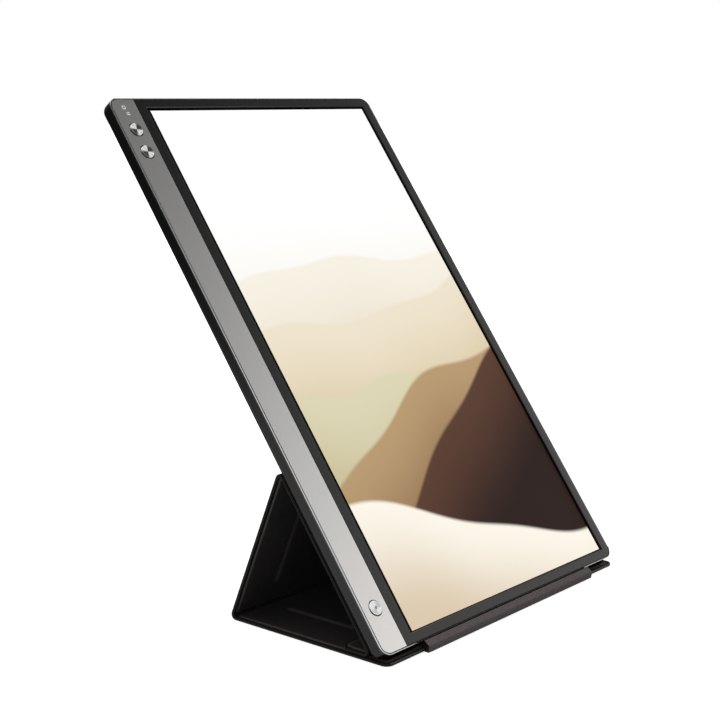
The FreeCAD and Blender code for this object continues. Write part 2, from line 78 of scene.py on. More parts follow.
# Fold lines of the cover, and the length and turn about X of the panels between them
APEX = Vector(JOINTS["stand_fold"]["pos_m"])
REAR = Vector(JOINTS["base_fold"]["pos_m"])
FOOT = Vector(JOINTS["flap_fold"]["pos_m"])
STRUT_TURN = math.atan2(APEX.z - REAR.z, APEX.y - REAR.y)
BACK_TURN = math.pi + SCREEN_TURN
STRUT_L = (APEX - REAR).length
BACK_L = (APEX - FOOT).length

# Steps round a corner of the body, a button and a printed ring
CORNER_STEPS = 12
BUTTON_STEPS = 64
SIGN_STEPS = 36

# Signs printed beside the buttons, in mm across from the body's left edge and up the screen.
# Ring: middle, radius, width of the line, then start and sweep in degrees. Bar: its four sides.
SIGNS = (
    ("power_sign_ring", "ring", (9.7, 14.2, 1.25, 0.26, 40, 280)),
    ("power_sign_bar", "bar", (9.57, 9.83, 14.2, 15.7)),
    ("select_sign", "ring", (8.3, 318.0, 1.0, 0.45, 0, 360)),
    ("menu_sign_upper", "bar", (8.2, 10.3, 314.3, 314.8)),
    ("menu_sign_lower", "bar", (8.2, 10.3, 313.2, 313.7)),
)

# Finishes of a cover panel, in the order of its materials
SKIN, LINING, PAINTED_CREASE, PAINTED_RIDGE = range(4)

# Shares of a width: the slopes of a pressed line and of the groove, the board's softened step, and
# the rounding of the inlet's slot
CREASE_SLOPE, GROOVE_SLOPE, STEP_SOFT, SLOT_ROUND = 0.36, 0.25, 0.4, 0.9

# Least angles between two faces, in radians: at the board's step, and at the lip's long edges and
# its ends
STEP_BEND, LIP_BEND, LIP_END_BEND = 0.2, 0.45, 1.2

# Directions of faces that change the finish: the housing's back, the bright cut on the ring, the
# wall of the window, a pressed slope of the cover and an end of the lip
BACK_BELOW, CUT_BETWEEN, WALL_BELOW, SLOPE_BELOW, END_ABOVE = -0.2, (0.5, 0.9), 0.6, 0.95, 0.5

# Studio in metres and watts: half the floor, then each lamp's place, width and power
FLOOR_HALF = 20
LAMPS = (
    ("top_light", (0.0, 1.5, 2.2), 3.0, 34),
    ("front_light", (-1.45, -0.95, 0.8), 1.4, 8.5),
)
LAMP_TARGET = Vector((0, 0, 0.1))

# Camera, solved from the corners of the screen and of the body: place in metres, degrees round the
# object, above it and of roll, lens and sensor in mm, and shift as a share of the image
CAMERA_PLACE = Vector((-0.5975, -0.5159, 0.2639))
CAMERA_TURNS = (-49.98, 11.61, -0.35)
CAMERA_LENS, CAMERA_SENSOR = 71.85, 36.0
CAMERA_SHIFT = (-0.0445, 0.058)


def linear(code):
    """Linear red, green and blue of an sRGB hex colour."""
    shares = [int(code[at:at + 2], 16) / 255 for at in (1, 3, 5)]
    return tuple(s / 12.92 if s <= 0.04045 else ((s + 0.055) / 1.055) ** 2.4 for s in shares)


def size(name, description, millimetres):
    """Length property, given in millimetres and kept in metres."""
    return FloatProperty(name=name, description=description, default=millimetres * MM, min=0.0,
                         unit="LENGTH", precision=5)


def colour(name, description, code):
    """Colour property, given as an sRGB hex value and kept linear."""
    return FloatVectorProperty(name=name, description=description, default=linear(code), size=3,
                               min=0.0, max=1.0, subtype="COLOR")


class MonitorSizes(bpy.types.PropertyGroup):
    """Sizes of the monitor's body, face and buttons."""

    width: size("Width", "Body across", 207.0)
    height: size("Height", "Body up the screen", 324.0)
    thickness: size("Thickness", "Body from the front face to the back", 9.0)
    corner: size("Corner", "Radius of the body's four corners", 6.0)
    back_edge: size("Back edge", "Radius of the rounded edge at the back", 3.2)
    wall: size("Wall", "Thickness of the moulded housing", 1.2)
    inlet_height: size("Inlet height", "Height of the inlet's metal shell", 3.26)
    inlet_gap: size("Inlet gap", "Clearance round the inlet's shell", 0.2)
    inlet_depth: size("Inlet depth", "Depth of the slot for the inlet", 3.0)
    face: size("Face", "Thickness of the front layer", 1.2)
    trim: size("Trim", "Width of the metal ring round the face", 0.75)
    trim_chamfer: size("Trim chamfer", "Width of the bright cut on the ring", 0.58)
    strip: size("Strip", "Width of the control strip", 16.6)
    strip_edge: size("Strip edge", "Rounding of the strip's edges", 0.22)
    seam: size("Seam", "Gap between the face's pieces", 0.15)
    groove: size("Groove", "Dark line between the ring and the strip", 0.25)
    window_left: size("Window left", "Body's left edge to the bezel's window", 24.1)
    window_right: size("Window right", "Body's right edge to the bezel's window", 7.0)
    window_bottom: size("Window bottom", "Body's lower edge to the bezel's window", 5.9)
    window_top: size("Window top", "Body's upper edge to the bezel's window", 6.3)
    bezel_chamfer: size("Bezel chamfer", "Rounded inner edge of the bezel", 0.5)
    bezel_edge: size("Bezel edge", "Rounding of the bezel's outer edges", 0.2)
    picture_left: size("Picture left", "Body's left edge to the lit area", 26.9)
    picture_right: size("Picture right", "Body's right edge to the lit area", 7.5)
    picture_bottom: size("Picture bottom", "Body's lower edge to the lit area", 6.5)
    picture_top: size("Picture top", "Body's upper edge to the lit area", 7.2)
    button: size("Button", "Radius of a button's cap", 3.75)
    button_gap: size("Button gap", "Clearance round a button", 0.55)
    button_left: size("Button left", "Body's left edge to the buttons' middle", 9.3)
    button_proud: size("Button proud", "Height of a cap above the strip", 0.7)
    button_edge: size("Button edge", "Rounding of a cap's edge", 0.25)
    button_dish: size("Button dish", "Radius of the turned dish in a cap", 3.15)
    dish_depth: size("Dish depth", "Depth of the turned dish", 0.2)
    lens: size("Lens", "Radius of the lens in the power button", 0.8)
    lens_seat: size("Lens seat", "Depth of the lens below the dish", 0.05)
    flange: size("Flange", "Radius of the flange behind the strip", 5.0)
    flange_gap: size("Flange gap", "Strip's back to the flange", 0.3)
    flange_thickness: size("Flange thickness", "Thickness of the flange", 0.6)
    stem: size("Stem", "Radius of the stem on a button", 1.3)
    stem_length: size("Stem length", "Length of the stem behind the flange", 2.3)
    menu_height: size("Menu height", "Menu button up the screen", 303.8)
    select_height: size("Select height", "Select button up the screen", 289.8)
    power_height: size("Power height", "Power button up the screen", 23.7)
    ink: size("Ink", "Thickness of the printed signs", 0.03)


class CoverSizes(bpy.types.PropertyGroup):
    """Sizes of the folding cover."""

    width: size("Width", "Cover across", 205.0)
    thickness: size("Thickness", "Panel with its board", 2.0)
    border: size("Border", "Thickness of the cover's turned edge", 1.85)
    border_width: size("Border width", "Width of the turned edge", 1.4)
    valley: size("Valley", "Depth of the pressed line inside the turned edge", 0.45)
    valley_width: size("Valley width", "Width of each side of that line", 1.1)
    edge: size("Edge", "Radius of the turned edge", 0.85)
    fold: size("Fold", "Outer radius of a fold", 3.0)
    base: size("Base", "Length of the base", 105.0)
    flap: size("Flap", "Length of the flap", 16.5)
    base_corner: size("Base corner", "Radius of the base's front corners", 4.5)
    flap_corner: size("Flap corner", "Radius of the flap's free corners", 7.0)
    crease: size("Crease", "Width of the pressed lines", 4.6)
    crease_inset: size("Crease inset", "Cover's side to a pressed line's middle", 27.0)
    crease_depth: size("Crease depth", "Depth of the pressed lines", 0.15)
    crease_end: size("Crease end", "Fold to the end of a pressed line", 13.0)
    groove: size("Groove", "Width of the groove under the monitor's edge", 6.0)
    groove_depth: size("Groove depth", "Depth of that groove", 0.35)
    groove_back: size("Groove back", "Monitor's front edge back to the groove's middle", 6.58)
    lip: size("Lip", "Length of the lip at the base's front edge", 149.0)
    lip_front: size("Lip front", "Monitor's front edge to the lip's front", 4.1)
    lip_slant: size("Lip slant", "Lip's front to its foot", 0.5)
    lip_foot: size("Lip foot", "Height of the lip's foot above the table", 0.1)
    lip_shoulder: size("Lip shoulder", "Height of the lip's upright front", 3.6)
    lip_crest: size("Lip crest", "Monitor's front edge to the lip's crest", 1.0)
    lip_crest_rise: size("Lip crest rise", "Height of the crest above that edge", 0.4)
    lip_heel: size("Lip heel", "Monitor's front edge back to the lip's heel", 0.6)
    lip_heel_rise: size("Lip heel rise", "Height of the heel above the base", 1.6)
    lip_back: size("Lip back", "Monitor's front edge to the base behind the lip", 0.9)
    lip_plain: size("Lip plain", "Height up to which the lip's edges stay sharp", 3.0)
    lip_round: size("Lip round", "Rounding of the lip's long edges", 0.6)
    lip_end: size("Lip end", "Rounding of the lip's two ends", 0.2)
    fold_steps: IntProperty(name="Fold steps", description="Faces round a fold", default=18,
                            min=4, max=64)


class Finishes(bpy.types.PropertyGroup):
    """Colours of the finishes."""

    housing: colour("Housing", "Moulded housing", "#0B0B0C")
    bezel: colour("Bezel", "Frame round the picture", "#0C0B0B")
    # The window's wall is a darker black than the bezel: painted shade in the recess round the
    # picture
    window: colour("Window", "Matt wall round the picture", "#050505")
    strip: colour("Strip", "Anodised control strip", "#F1F0EF")
    trim: colour("Trim", "Cut edge of the metal ring", "#A8A7A6")
    button: colour("Button", "Turned button caps", "#FAFAFA")
    # This black also covers the walls of the strip's holes: painted shade there
    guide: colour("Guide", "Lining of the buttons' holes", "#0A0A0A")
    lens: colour("Lens", "Plug over the power light", "#85878A")
    mark: colour("Mark", "Printed signs beside the buttons", "#F4F3F0")
    skin: colour("Skin", "Outer skin of the cover", "#151312")
    lining: colour("Lining", "Inner lining of the cover", "#272426")
    # This colour is paler than the lining: painted highlight along the pressed lines
    pressed: colour("Pressed", "Pressed lines in the lining", "#5A5453")
    # This colour is paler than the lining: painted highlight on the slope inside the turned edge
    ridge_highlight_tint: colour("Glazed", "Pressed slope beside the turned edge", "#3D3835")
    lip: colour("Lip", "Wrapped lip of the base", "#66605F")
    floor: colour("Floor", "Studio floor", "#F2F2F1")


def sizes():
    return bpy.context.scene.monitor_sizes


def cover():
    return bpy.context.scene.cover_sizes


def shades():
    return bpy.context.scene.monitor_finishes


# Modelling by hand: small steps that every piece is made with

def put_down():
    """Leave edit mode and deselect everything."""
    if bpy.context.object and bpy.context.object.mode != "OBJECT":
        bpy.ops.object.mode_set(mode="OBJECT")
    bpy.ops.object.select_all(action="DESELECT")


def take_up(piece):
    """Select one piece alone."""
    put_down()
    piece.select_set(True)
    bpy.context.view_layer.objects.active = piece


def open_piece(name):
    """Name the piece just added, put its place in its mesh and open it for editing."""
    piece = bpy.context.object
    piece.name = name
    piece.data.name = name
    bpy.ops.object.transform_apply(location=True, rotation=True, scale=True)
    bpy.ops.object.mode_set(mode="EDIT")
    return piece


def start_plate(name, low, high, z):
    """Add a rectangle between two corners and open it for editing."""
    put_down()
    middle = ((low[0] + high[0]) / 2, (low[1] + high[1]) / 2, z)
    bpy.ops.mesh.primitive_plane_add(size=1.0, location=middle)
    bpy.context.object.scale = (high[0] - low[0], high[1] - low[1], 1.0)
    return open_piece(name)


def start_disc(name, radius, x, y, z):
    """Add a filled circle and open it for editing."""
    put_down()
    bpy.ops.mesh.primitive_circle_add(vertices=BUTTON_STEPS, radius=radius, fill_type="NGON",
                                      location=(x, y, z))
    return open_piece(name)


def middle_of(item):
    """Middle of a vertex, edge or face."""
    if isinstance(item, bmesh.types.BMVert):
        return item.co
    if isinstance(item, bmesh.types.BMEdge):
        return (item.verts[0].co + item.verts[1].co) / 2
    return item.calc_center_median()


def pick(kind, test):
    """Select the vertices, edges or faces whose middle passes a test."""
    bpy.ops.mesh.select_mode(type=kind)
    bpy.ops.mesh.select_all(action="DESELECT")
    piece = bpy.context.object
    mesh = bmesh.from_edit_mesh(piece.data)
    items = {"VERT": mesh.verts, "EDGE": mesh.edges, "FACE": mesh.faces}[kind]
    found = [item for item in items if test(middle_of(item), item)]
    if not found:
        raise RuntimeError(piece.name + ": nothing to select")
    for item in found:
        item.select_set(True)
    mesh.select_flush_mode()
    bmesh.update_edit_mesh(piece.data)


def near(a, b):
    return abs(a - b) < NEAR


def along(edge, axes):
    """True if an edge's two ends agree in the named coordinates."""
    first, second = (vert.co for vert in edge.verts)
    return all(near(getattr(first, axis), getattr(second, axis)) for axis in axes)


def level(z):
    """Test for what lies wholly at one height."""
    def test(place, item):
        points = [item] if isinstance(item, bmesh.types.BMVert) else item.verts
        return all(near(point.co.z, z) for point in points)
    return test


def rim(z, least=0.5):
    """Test for the edges at one height where the faces turn by more than a least angle."""
    flat = level(z)

    def test(place, edge):
        return flat(place, edge) and len(edge.link_faces) == 2 and edge.calc_face_angle() > least
    return test


def round_corner(x, y, radius, steps=CORNER_STEPS):
    """Round one upright corner of a plate that is still flat."""
    pick("VERT", lambda place, item: near(place.x, x) and near(place.y, y))
    bpy.ops.mesh.bevel(offset=radius, segments=steps, affect="VERTICES")


def pull(z, everything=True):
    """Extrude the whole flat shape, or only what is selected, along Z."""
    if everything:
        bpy.ops.mesh.select_all(action="SELECT")
    bpy.ops.mesh.extrude_region_move(TRANSFORM_OT_translate={"value": (0, 0, z)})


def soften(width, steps):
    """Bevel the selected edges."""
    bpy.ops.mesh.bevel(offset=width, segments=steps, affect="EDGES", profile=0.5,
                       clamp_overlap=True)


def cut_across(axis, place):
    """Cut the selected faces with a plane square to X or Y."""
    normal = Vector((axis == "X", axis == "Y", 0))
    bpy.ops.mesh.bisect(plane_co=place * normal, plane_no=normal)


def weld():
    """Merge doubles and turn every face outwards."""
    bpy.ops.mesh.select_all(action="SELECT")
    bpy.ops.mesh.remove_doubles(threshold=WELD)
    bpy.ops.mesh.normals_make_consistent(inside=False)


def close_piece():
    """Weld a piece and leave edit mode."""
    weld()
    bpy.ops.object.mode_set(mode="OBJECT")


def apply_modifier(piece, kind, **settings):
    """Add a modifier to the active piece with its settings, and apply it."""
    bpy.ops.object.modifier_add(type=kind)
    modifier = piece.modifiers[-1]
    for name, value in settings.items():
        setattr(modifier, name, value)
    bpy.ops.object.modifier_apply(modifier=modifier.name)


def take_out(piece, cutter):
    """Cut one closed shape out of a piece."""
    take_up(piece)
    apply_modifier(piece, "BOOLEAN", operation="DIFFERENCE", solver="EXACT", object=cutter)
    put_down()
    bpy.data.objects.remove(cutter)


def settle(piece, matrix, smooth=32.0):
    """Turn a finished piece into place, with the place in its mesh, and smooth its round faces."""
    take_up(piece)
    piece.matrix_world = matrix
    bpy.ops.object.transform_apply(location=True, rotation=True, scale=True)
    bpy.ops.object.shade_smooth_by_angle(angle=math.radians(smooth))
    # Large flat faces keep their own direction beside small rounded edges
    apply_modifier(piece, "WEIGHTED_NORMAL", keep_sharp=True)
    put_down()


def screen_matrix():
    return Matrix.Translation(SCREEN_EDGE) @ Matrix.Rotation(SCREEN_TURN, 4, "X")


def panel_matrix(axis, turn):
    """Place of a panel that is drawn from its fold line, with its outer skin at height 0."""
    lowered = Matrix.Translation((0, 0, -cover().fold))
    return Matrix.Translation(axis) @ Matrix.Rotation(turn, 4, "X") @ lowered


def dress(piece, *materials):
    """Give a piece its materials."""
    piece.data.materials.clear()
    for material in materials:
        piece.data.materials.append(material)


def assign(piece, choose):
    """Give each face of a piece the material whose number is chosen for it."""
    for face in piece.data.polygons:
        face.material_index = int(choose(face))


def carry(piece, body, slot, *nodes):
    """Fix a piece to its body and hide the CAD nodes that it stands for. The slot is not used."""
    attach(piece, body)
    if nodes:
        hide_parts(*nodes)


# Finishes

SMOOTH = {"interpolation_type": "SMOOTHSTEP"}


def fill(made, inputs):
    """Set a node's inputs, or link them to a socket or to a node's first output in use."""
    for key, value in inputs.items():
        # Sockets of one name differ by their kind of value, and only one of them is enabled
        socket = made.inputs[key] if isinstance(key, int) else next(
            entry for entry in made.inputs if entry.name == key and entry.enabled)
        if isinstance(value, bpy.types.Node):
            value = next(entry for entry in value.outputs if entry.enabled)
        if isinstance(value, bpy.types.NodeSocket):
            made.id_data.links.new(value, socket)
        else:
            socket.default_value = value


def add_node(tree, kind, inputs=None, **settings):
    """Add a node with its settings, and set or link its inputs."""
    made = tree.nodes.new("ShaderNode" + kind)
    for name, value in settings.items():
        setattr(made, name, value)
    fill(made, inputs or {})
    return made


def start_finish(name):
    """New material, with add_node for its own tree, and its shader."""
    material = bpy.data.materials.new(name)
    material.use_nodes = True
    tree = material.node_tree
    return material, partial(add_node, tree), tree.nodes["Principled BSDF"]


def object_place(node):
    return node("TexCoord").outputs["Object"]


def screen_place(node):
    """Object coordinates turned into the screen's own frame."""
    turned = {"Vector": object_place(node), "Location": SCREEN_EDGE,
              "Rotation": (SCREEN_TURN, 0, 0)}
    return node("Mapping", turned, vector_type="TEXTURE")


def scaled(rgb, share=1.0):
    """Colour made darker or lighter, for a colour socket."""
    return tuple(min(1.0, channel * share) for channel in rgb) + (1.0,)


def grained(name, rgb, grain, depth, roughness, metallic=0.0, spread=0.18, shine=0.5):
    """Finish with a fine grain in its colour, gloss and surface. Grain and depth are in mm."""
    material, node, shader = start_finish(name)
    grains = node("TexNoise", {"Vector": screen_place(node), "Scale": 1 / (grain * MM),
                               "Detail": 3.0, "Roughness": 0.6})
    tone = node("Mix", {"Factor": grains, "A": scaled(rgb, 1 - spread),
                        "B": scaled(rgb, 1 + spread)}, data_type="RGBA")
    gloss = node("MapRange", {"Value": grains, "From Min": 0.3, "From Max": 0.7,
                              "To Min": roughness - 0.03, "To Max": roughness + 0.03})
    fill(shader, {"Base Color": tone, "Roughness": gloss, "Metallic": metallic,
                  "Specular IOR Level": shine})
    if depth > 0:
        relief = node("Bump", {"Height": grains, "Distance": depth * MM, "Strength": 0.6})
        fill(shader, {"Normal": relief})
    return material


def leather(name, rgb, roughness, shine, ground=None):
    """Embossed polyurethane leather: pebbles with fine creases between them, painted darker in the
    creases as painted shade, and worn in patches.
    """
    material, node, shader = start_finish(name)
    pebble, ripple, patch, emboss = 0.8 * MM, 1.5 * MM, 14 * MM, 0.04 * MM
    place = object_place(node)
    warp = node("TexNoise", {"Vector": place, "Scale": 1 / ripple, "Detail": 2.0})
    bent = node("Mix", {"Factor": 0.0003, "A": place, "B": warp.outputs["Color"]},
                data_type="VECTOR")
    pebbles = node("TexVoronoi", {"Vector": bent, "Scale": 1 / pebble}, feature="DISTANCE_TO_EDGE")
    pebble_height_and_shade = node("MapRange", {"Value": pebbles, "From Max": 0.3}, **SMOOTH)
    patches = node("TexNoise", {"Vector": place, "Scale": 1 / patch, "Detail": 3.0})
    worn = node("Mix", {"Factor": patches, "A": scaled(rgb, 0.93), "B": scaled(rgb, 1.07)},
                data_type="RGBA")
    # The creases between the pebbles are painted darker: painted shade
    tone = node("Mix", {"Factor": pebble_height_and_shade, "A": scaled(rgb, 0.6), "B": worn}, data_type="RGBA")
    gloss = node("MapRange", {"Value": patches, "From Min": 0.3, "From Max": 0.7,
                              "To Min": roughness - 0.02, "To Max": roughness + 0.02})
    relief = node("Bump", {"Height": pebble_height_and_shade, "Distance": emboss, "Strength": 0.5})
    if ground:
        # Painted highlight: a pressed line is palest along its middle and fades into the ground at
        # both sides
        sheet = cover()
        line = sheet.width / 2 - sheet.crease_inset
        sides = node("SeparateXYZ", {0: place})
        across = node("Math", {0: sides.outputs["X"]}, operation="ABSOLUTE")
        beside = node("Math", {0: across, 1: line}, operation="SUBTRACT")
        away = node("Math", {0: beside}, operation="ABSOLUTE")
        crease_highlight = node("MapRange", {"Value": away, "From Max": sheet.crease / 2, "To Min": 1.0,
                                 "To Max": 0.0}, **SMOOTH)
        tone = node("Mix", {"Factor": crease_highlight, "A": scaled(ground, 0.9), "B": tone}, data_type="RGBA")
    fill(shader, {"Base Color": tone, "Roughness": gloss, "Normal": relief,
                  "Specular IOR Level": shine})
    return material


def turned_metal(name, rgb, x, y, fan_shade_share):
    """Aluminium turned on a lathe, with fine rings about its middle. Its colour holds painted
    highlight in two light fans and painted shade in two darker fans between them.
    """
    material, node, shader = start_finish(name)
    # Rings 0.12 mm apart, coarser than a real cut so that they show
    pitch, lean = 0.12 * MM, math.radians(123)
    arm = node("VectorMath", {0: screen_place(node), 1: (x, y, 0.0)}, operation="SUBTRACT")
    flat = node("VectorMath", {0: arm, 1: (1.0, 1.0, 0.0)}, operation="MULTIPLY")
    reach = node("VectorMath", {0: flat}, operation="LENGTH")
    rings = node("Math", {0: reach, 1: 2 * math.pi / pitch}, operation="MULTIPLY")
    wave = node("Math", {0: rings}, operation="SINE")
    gloss = node("MapRange", {"Value": wave, "From Min": -1.0, "To Min": 0.25, "To Max": 0.31})
    # The gloss is drawn out along the rings
    middle = screen_matrix() @ Vector((x, y, 0.0))
    spoke = node("VectorMath", {0: object_place(node), 1: middle}, operation="SUBTRACT")
    around = node("VectorMath", {0: SCREEN_OUT, 1: spoke}, operation="CROSS_PRODUCT")
    cut = node("VectorMath", {0: around}, operation="NORMALIZE")
    # Painted highlight in two light fans, and painted shade in the two darker fans between them
    parts = node("SeparateXYZ", {0: flat})
    bearing = node("Math", {0: parts.outputs["Y"], 1: parts.outputs["X"]}, operation="ARCTAN2")
    doubled = node("Math", {0: bearing, 1: 2.0, 2: -2 * lean}, operation="MULTIPLY_ADD")
    swing = node("Math", {0: doubled}, operation="COSINE")
    painted_fan = node("MapRange", {"Value": swing, "From Min": -0.8, "From Max": 0.55}, **SMOOTH)
    # A thin grey line is painted along the middle of each of the light fans, within the painted
    # highlight
    painted_streak = node("MapRange", {"Value": swing, "From Min": 0.93, "To Max": 0.28}, **SMOOTH)
    painted_highlight = node("Math", {0: painted_fan, 1: painted_streak}, operation="SUBTRACT")
    painted_fans = node("Mix", {"Factor": painted_highlight, "A": scaled(rgb, fan_shade_share), "B": scaled(rgb)},
                   data_type="RGBA")
    metal_between_fans = node("MapRange", {"Value": painted_highlight, "To Min": 1.0, "To Max": 0.0})
    fill(shader, {"Base Color": painted_fans, "Roughness": gloss, "Tangent": cut, "Metallic": metal_between_fans,
                  "Anisotropic": 0.8})
    return material


# Layers of the picture on the screen, from far to near: height of the ridge at the left, its rise
# to the right, two waves as height, turns across and start, then the colours at the ridge and lower
DUNES = (
    (0.64, 0.04, 0.022, 0.7, 0.3, 0.006, 2.1, 1.0, "#F7F1E4", "#EADFCB"),
    (0.53, 0.09, 0.030, 0.6, 2.2, 0.007, 1.9, 0.4, "#EEE3CC", "#DCCBA9"),
    (0.46, -0.10, 0.028, 0.8, 4.4, 0.008, 2.2, 2.0, "#DCD6B6", "#C9BE97"),
    (0.28, 0.17, 0.032, 0.7, 5.3, 0.008, 1.9, 0.9, "#B89A72", "#8C6B4B"),
    (0.16, 0.24, 0.036, 0.6, 4.4, 0.009, 1.7, 3.0, "#5A3D30", "#2C1D1A"),
    (0.20, -0.13, 0.028, 0.7, 1.2, 0.007, 1.8, 0.2, "#FBF6E9", "#DCC9AE"),
)
HORIZON, SKY, GLASS = "#F8F6EE", "#FFFFFF", "#060606"


def lit_picture():
    """Backlit panel behind matt glass: smooth dunes under a white sky, inside a black edge."""
    material, node, shader = start_finish("backlit display glass")
    body = sizes()
    left, right = body.picture_left - body.width / 2, body.width / 2 - body.picture_right
    bottom, top = body.picture_bottom, body.height - body.picture_top
    place = node("Mapping", {"Vector": screen_place(node), "Location": (left, bottom, 0),
                             "Scale": (right - left, top - bottom, 1)}, vector_type="TEXTURE")
    parts = node("SeparateXYZ", {0: place})
    across, up = parts.outputs["X"], parts.outputs["Y"]
    sky = node("MapRange", {"Value": up, "From Min": 0.55, "From Max": 0.8}, **SMOOTH)
    picture = node("Mix", {"Factor": sky, "A": scaled(linear(HORIZON)), "B": scaled(linear(SKY))},
                   data_type="RGBA")
    for start, rise, high, turns, begin, small, quick, offset, ridge, foot in DUNES:
        height = node("Math", {0: across, 1: rise, 2: start}, operation="MULTIPLY_ADD")
        for swing, pace, phase in ((high, turns, begin), (small, quick, offset)):
            angle = node("Math", {0: across, 1: 2 * math.pi * pace, 2: phase},
                         operation="MULTIPLY_ADD")
            wave = node("Math", {0: angle}, operation="SINE")
            height = node("Math", {0: wave, 1: swing, 2: height}, operation="MULTIPLY_ADD")
        below = node("Math", {0: height, 1: up}, operation="SUBTRACT")
        inside = node("MapRange", {"Value": below, "From Min": -0.004, "From Max": 0.006}, **SMOOTH)
        shade = node("MapRange", {"Value": below, "From Max": 0.22}, **SMOOTH)
        sand = node("Mix", {"Factor": shade, "A": scaled(linear(ridge)),
                            "B": scaled(linear(foot))}, data_type="RGBA")
        picture = node("Mix", {"Factor": inside, "A": picture, "B": sand}, data_type="RGBA")
    # Both places lie between 0 and 1 inside the lit area
    within = [node("Math", {0: side, 1: 0.5, 2: 0.5}, operation="COMPARE") for side in (across, up)]
    lit = node("Math", dict(enumerate(within)), operation="MULTIPLY")
    glow = node("Mix", {"Factor": lit, "A": (0, 0, 0, 1), "B": picture}, data_type="RGBA")
    haze = node("TexNoise", {"Vector": screen_place(node), "Scale": 1 / (0.3 * MM), "Detail": 1.0})
    matt = node("MapRange", {"Value": haze, "To Min": 0.4, "To Max": 0.5})
    fill(shader, {"Base Color": scaled(linear(GLASS)), "Roughness": matt,
                  "Specular IOR Level": 0.05, "Emission Color": glow, "Emission Strength": 1.0})
    return material


class MONITOR_OT_housing(bpy.types.Operator):
    """Make the moulded housing and the metal ring round the face"""

    bl_idname = "monitor.housing"
    bl_label = "Housing and trim"

    def execute(self, context):
        body = sizes()
        shell = self.plate("housing_shell", -body.thickness)
        pull(body.thickness - body.face)
        pick("FACE", level(-body.face))
        bpy.ops.mesh.delete(type="FACE")
        pick("EDGE", rim(-body.thickness))
        soften(body.back_edge, steps=8)
        close_piece()
        apply_modifier(shell, "SOLIDIFY", thickness=body.wall, offset=-1.0)
        take_out(shell, self.inlet_slot())
        # ABS moulded in a spark-eroded tool: dull black with a fine grain at the sides, and coarser
        # and without gloss from the rounded edge to the back
        dress(shell, grained("textured black ABS", shades().housing, grain=0.25, depth=0.004,
                             roughness=0.3, shine=0.2),
              grained("coarse black ABS", shades().housing, grain=0.4, depth=0.012,
                      roughness=0.6, shine=0.05))
        assign(shell, lambda face: face.normal.z < BACK_BELOW)
        settle(shell, screen_matrix())
        carry(shell, "monitor", "housing_plastic", "rear_housing")

        ring = self.plate("edge_ring", -body.face)
        pick("FACE", level(-body.face))
        bpy.ops.mesh.inset(thickness=body.trim - body.groove / 2)
        bpy.ops.mesh.delete(type="FACE")
        pull(body.face)
        upper = rim(0.0)
        pick("EDGE", lambda place, edge: upper(place, edge) and self.at_cut(place))
        soften(body.trim_chamfer, steps=1)
        close_piece()
        # Aluminium, black anodised, with a diamond-cut chamfer that is bright and smooth
        dress(ring, grained("black anodised aluminium", shades().housing, grain=0.2, depth=0.0,
                            roughness=0.4, spread=0.1),
              grained("diamond-cut aluminium", shades().trim, grain=0.2, depth=0.0,
                      roughness=0.3, metallic=1.0, spread=0.04))
        assign(ring, lambda face: CUT_BETWEEN[0] < face.normal.z < CUT_BETWEEN[1])
        settle(ring, screen_matrix(), smooth=25.0)
        carry(ring, "monitor", "trim_metal", "edge_trim")
        return {"FINISHED"}

    def plate(self, name, z):
        """Plate of the body's outline, with its four corners rounded."""
        body = sizes()
        half, high = body.width / 2, body.height
        piece = start_plate(name, (-half, 0), (half, high), z)
        for x, y in ((-half, 0), (half, 0), (half, high), (-half, high)):
            round_corner(x, y, body.corner)
        return piece

    def inlet_slot(self):
        """Closed shape of the slot in the upper short side, round the inlet's shell."""
        body = sizes()
        low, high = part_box("usb_shell")
        to_screen = screen_matrix().inverted()
        near_end = to_screen @ Vector((low.x, low.y, high.z))
        far_end = to_screen @ Vector((high.x, high.y, low.z))
        deep = body.inlet_height / 2 + body.inlet_gap
        slot = start_plate("inlet_slot", (low.x - body.inlet_gap, body.height - body.inlet_depth),
                           (high.x + body.inlet_gap, body.height + MM),
                           (near_end.z + far_end.z) / 2 - deep)
        pull(2 * deep)
        pick("EDGE", lambda place, edge: along(edge, "xz"))
        soften(SLOT_ROUND * deep, steps=5)
        close_piece()
        return slot

    def at_cut(self, place):
        """True on the ring's outer edge, and on its inner edge along the straight sides."""
        body = sizes()
        half, high, corner, reach = body.width / 2, body.height, body.corner, body.trim / 2
        from_corner = min(math.hypot(abs(place.x) - half + corner, place.y - y)
                          for y in (corner, high - corner))
        return (abs(place.x) > half - reach or place.y < reach or place.y > high - reach
                or from_corner > corner - reach)


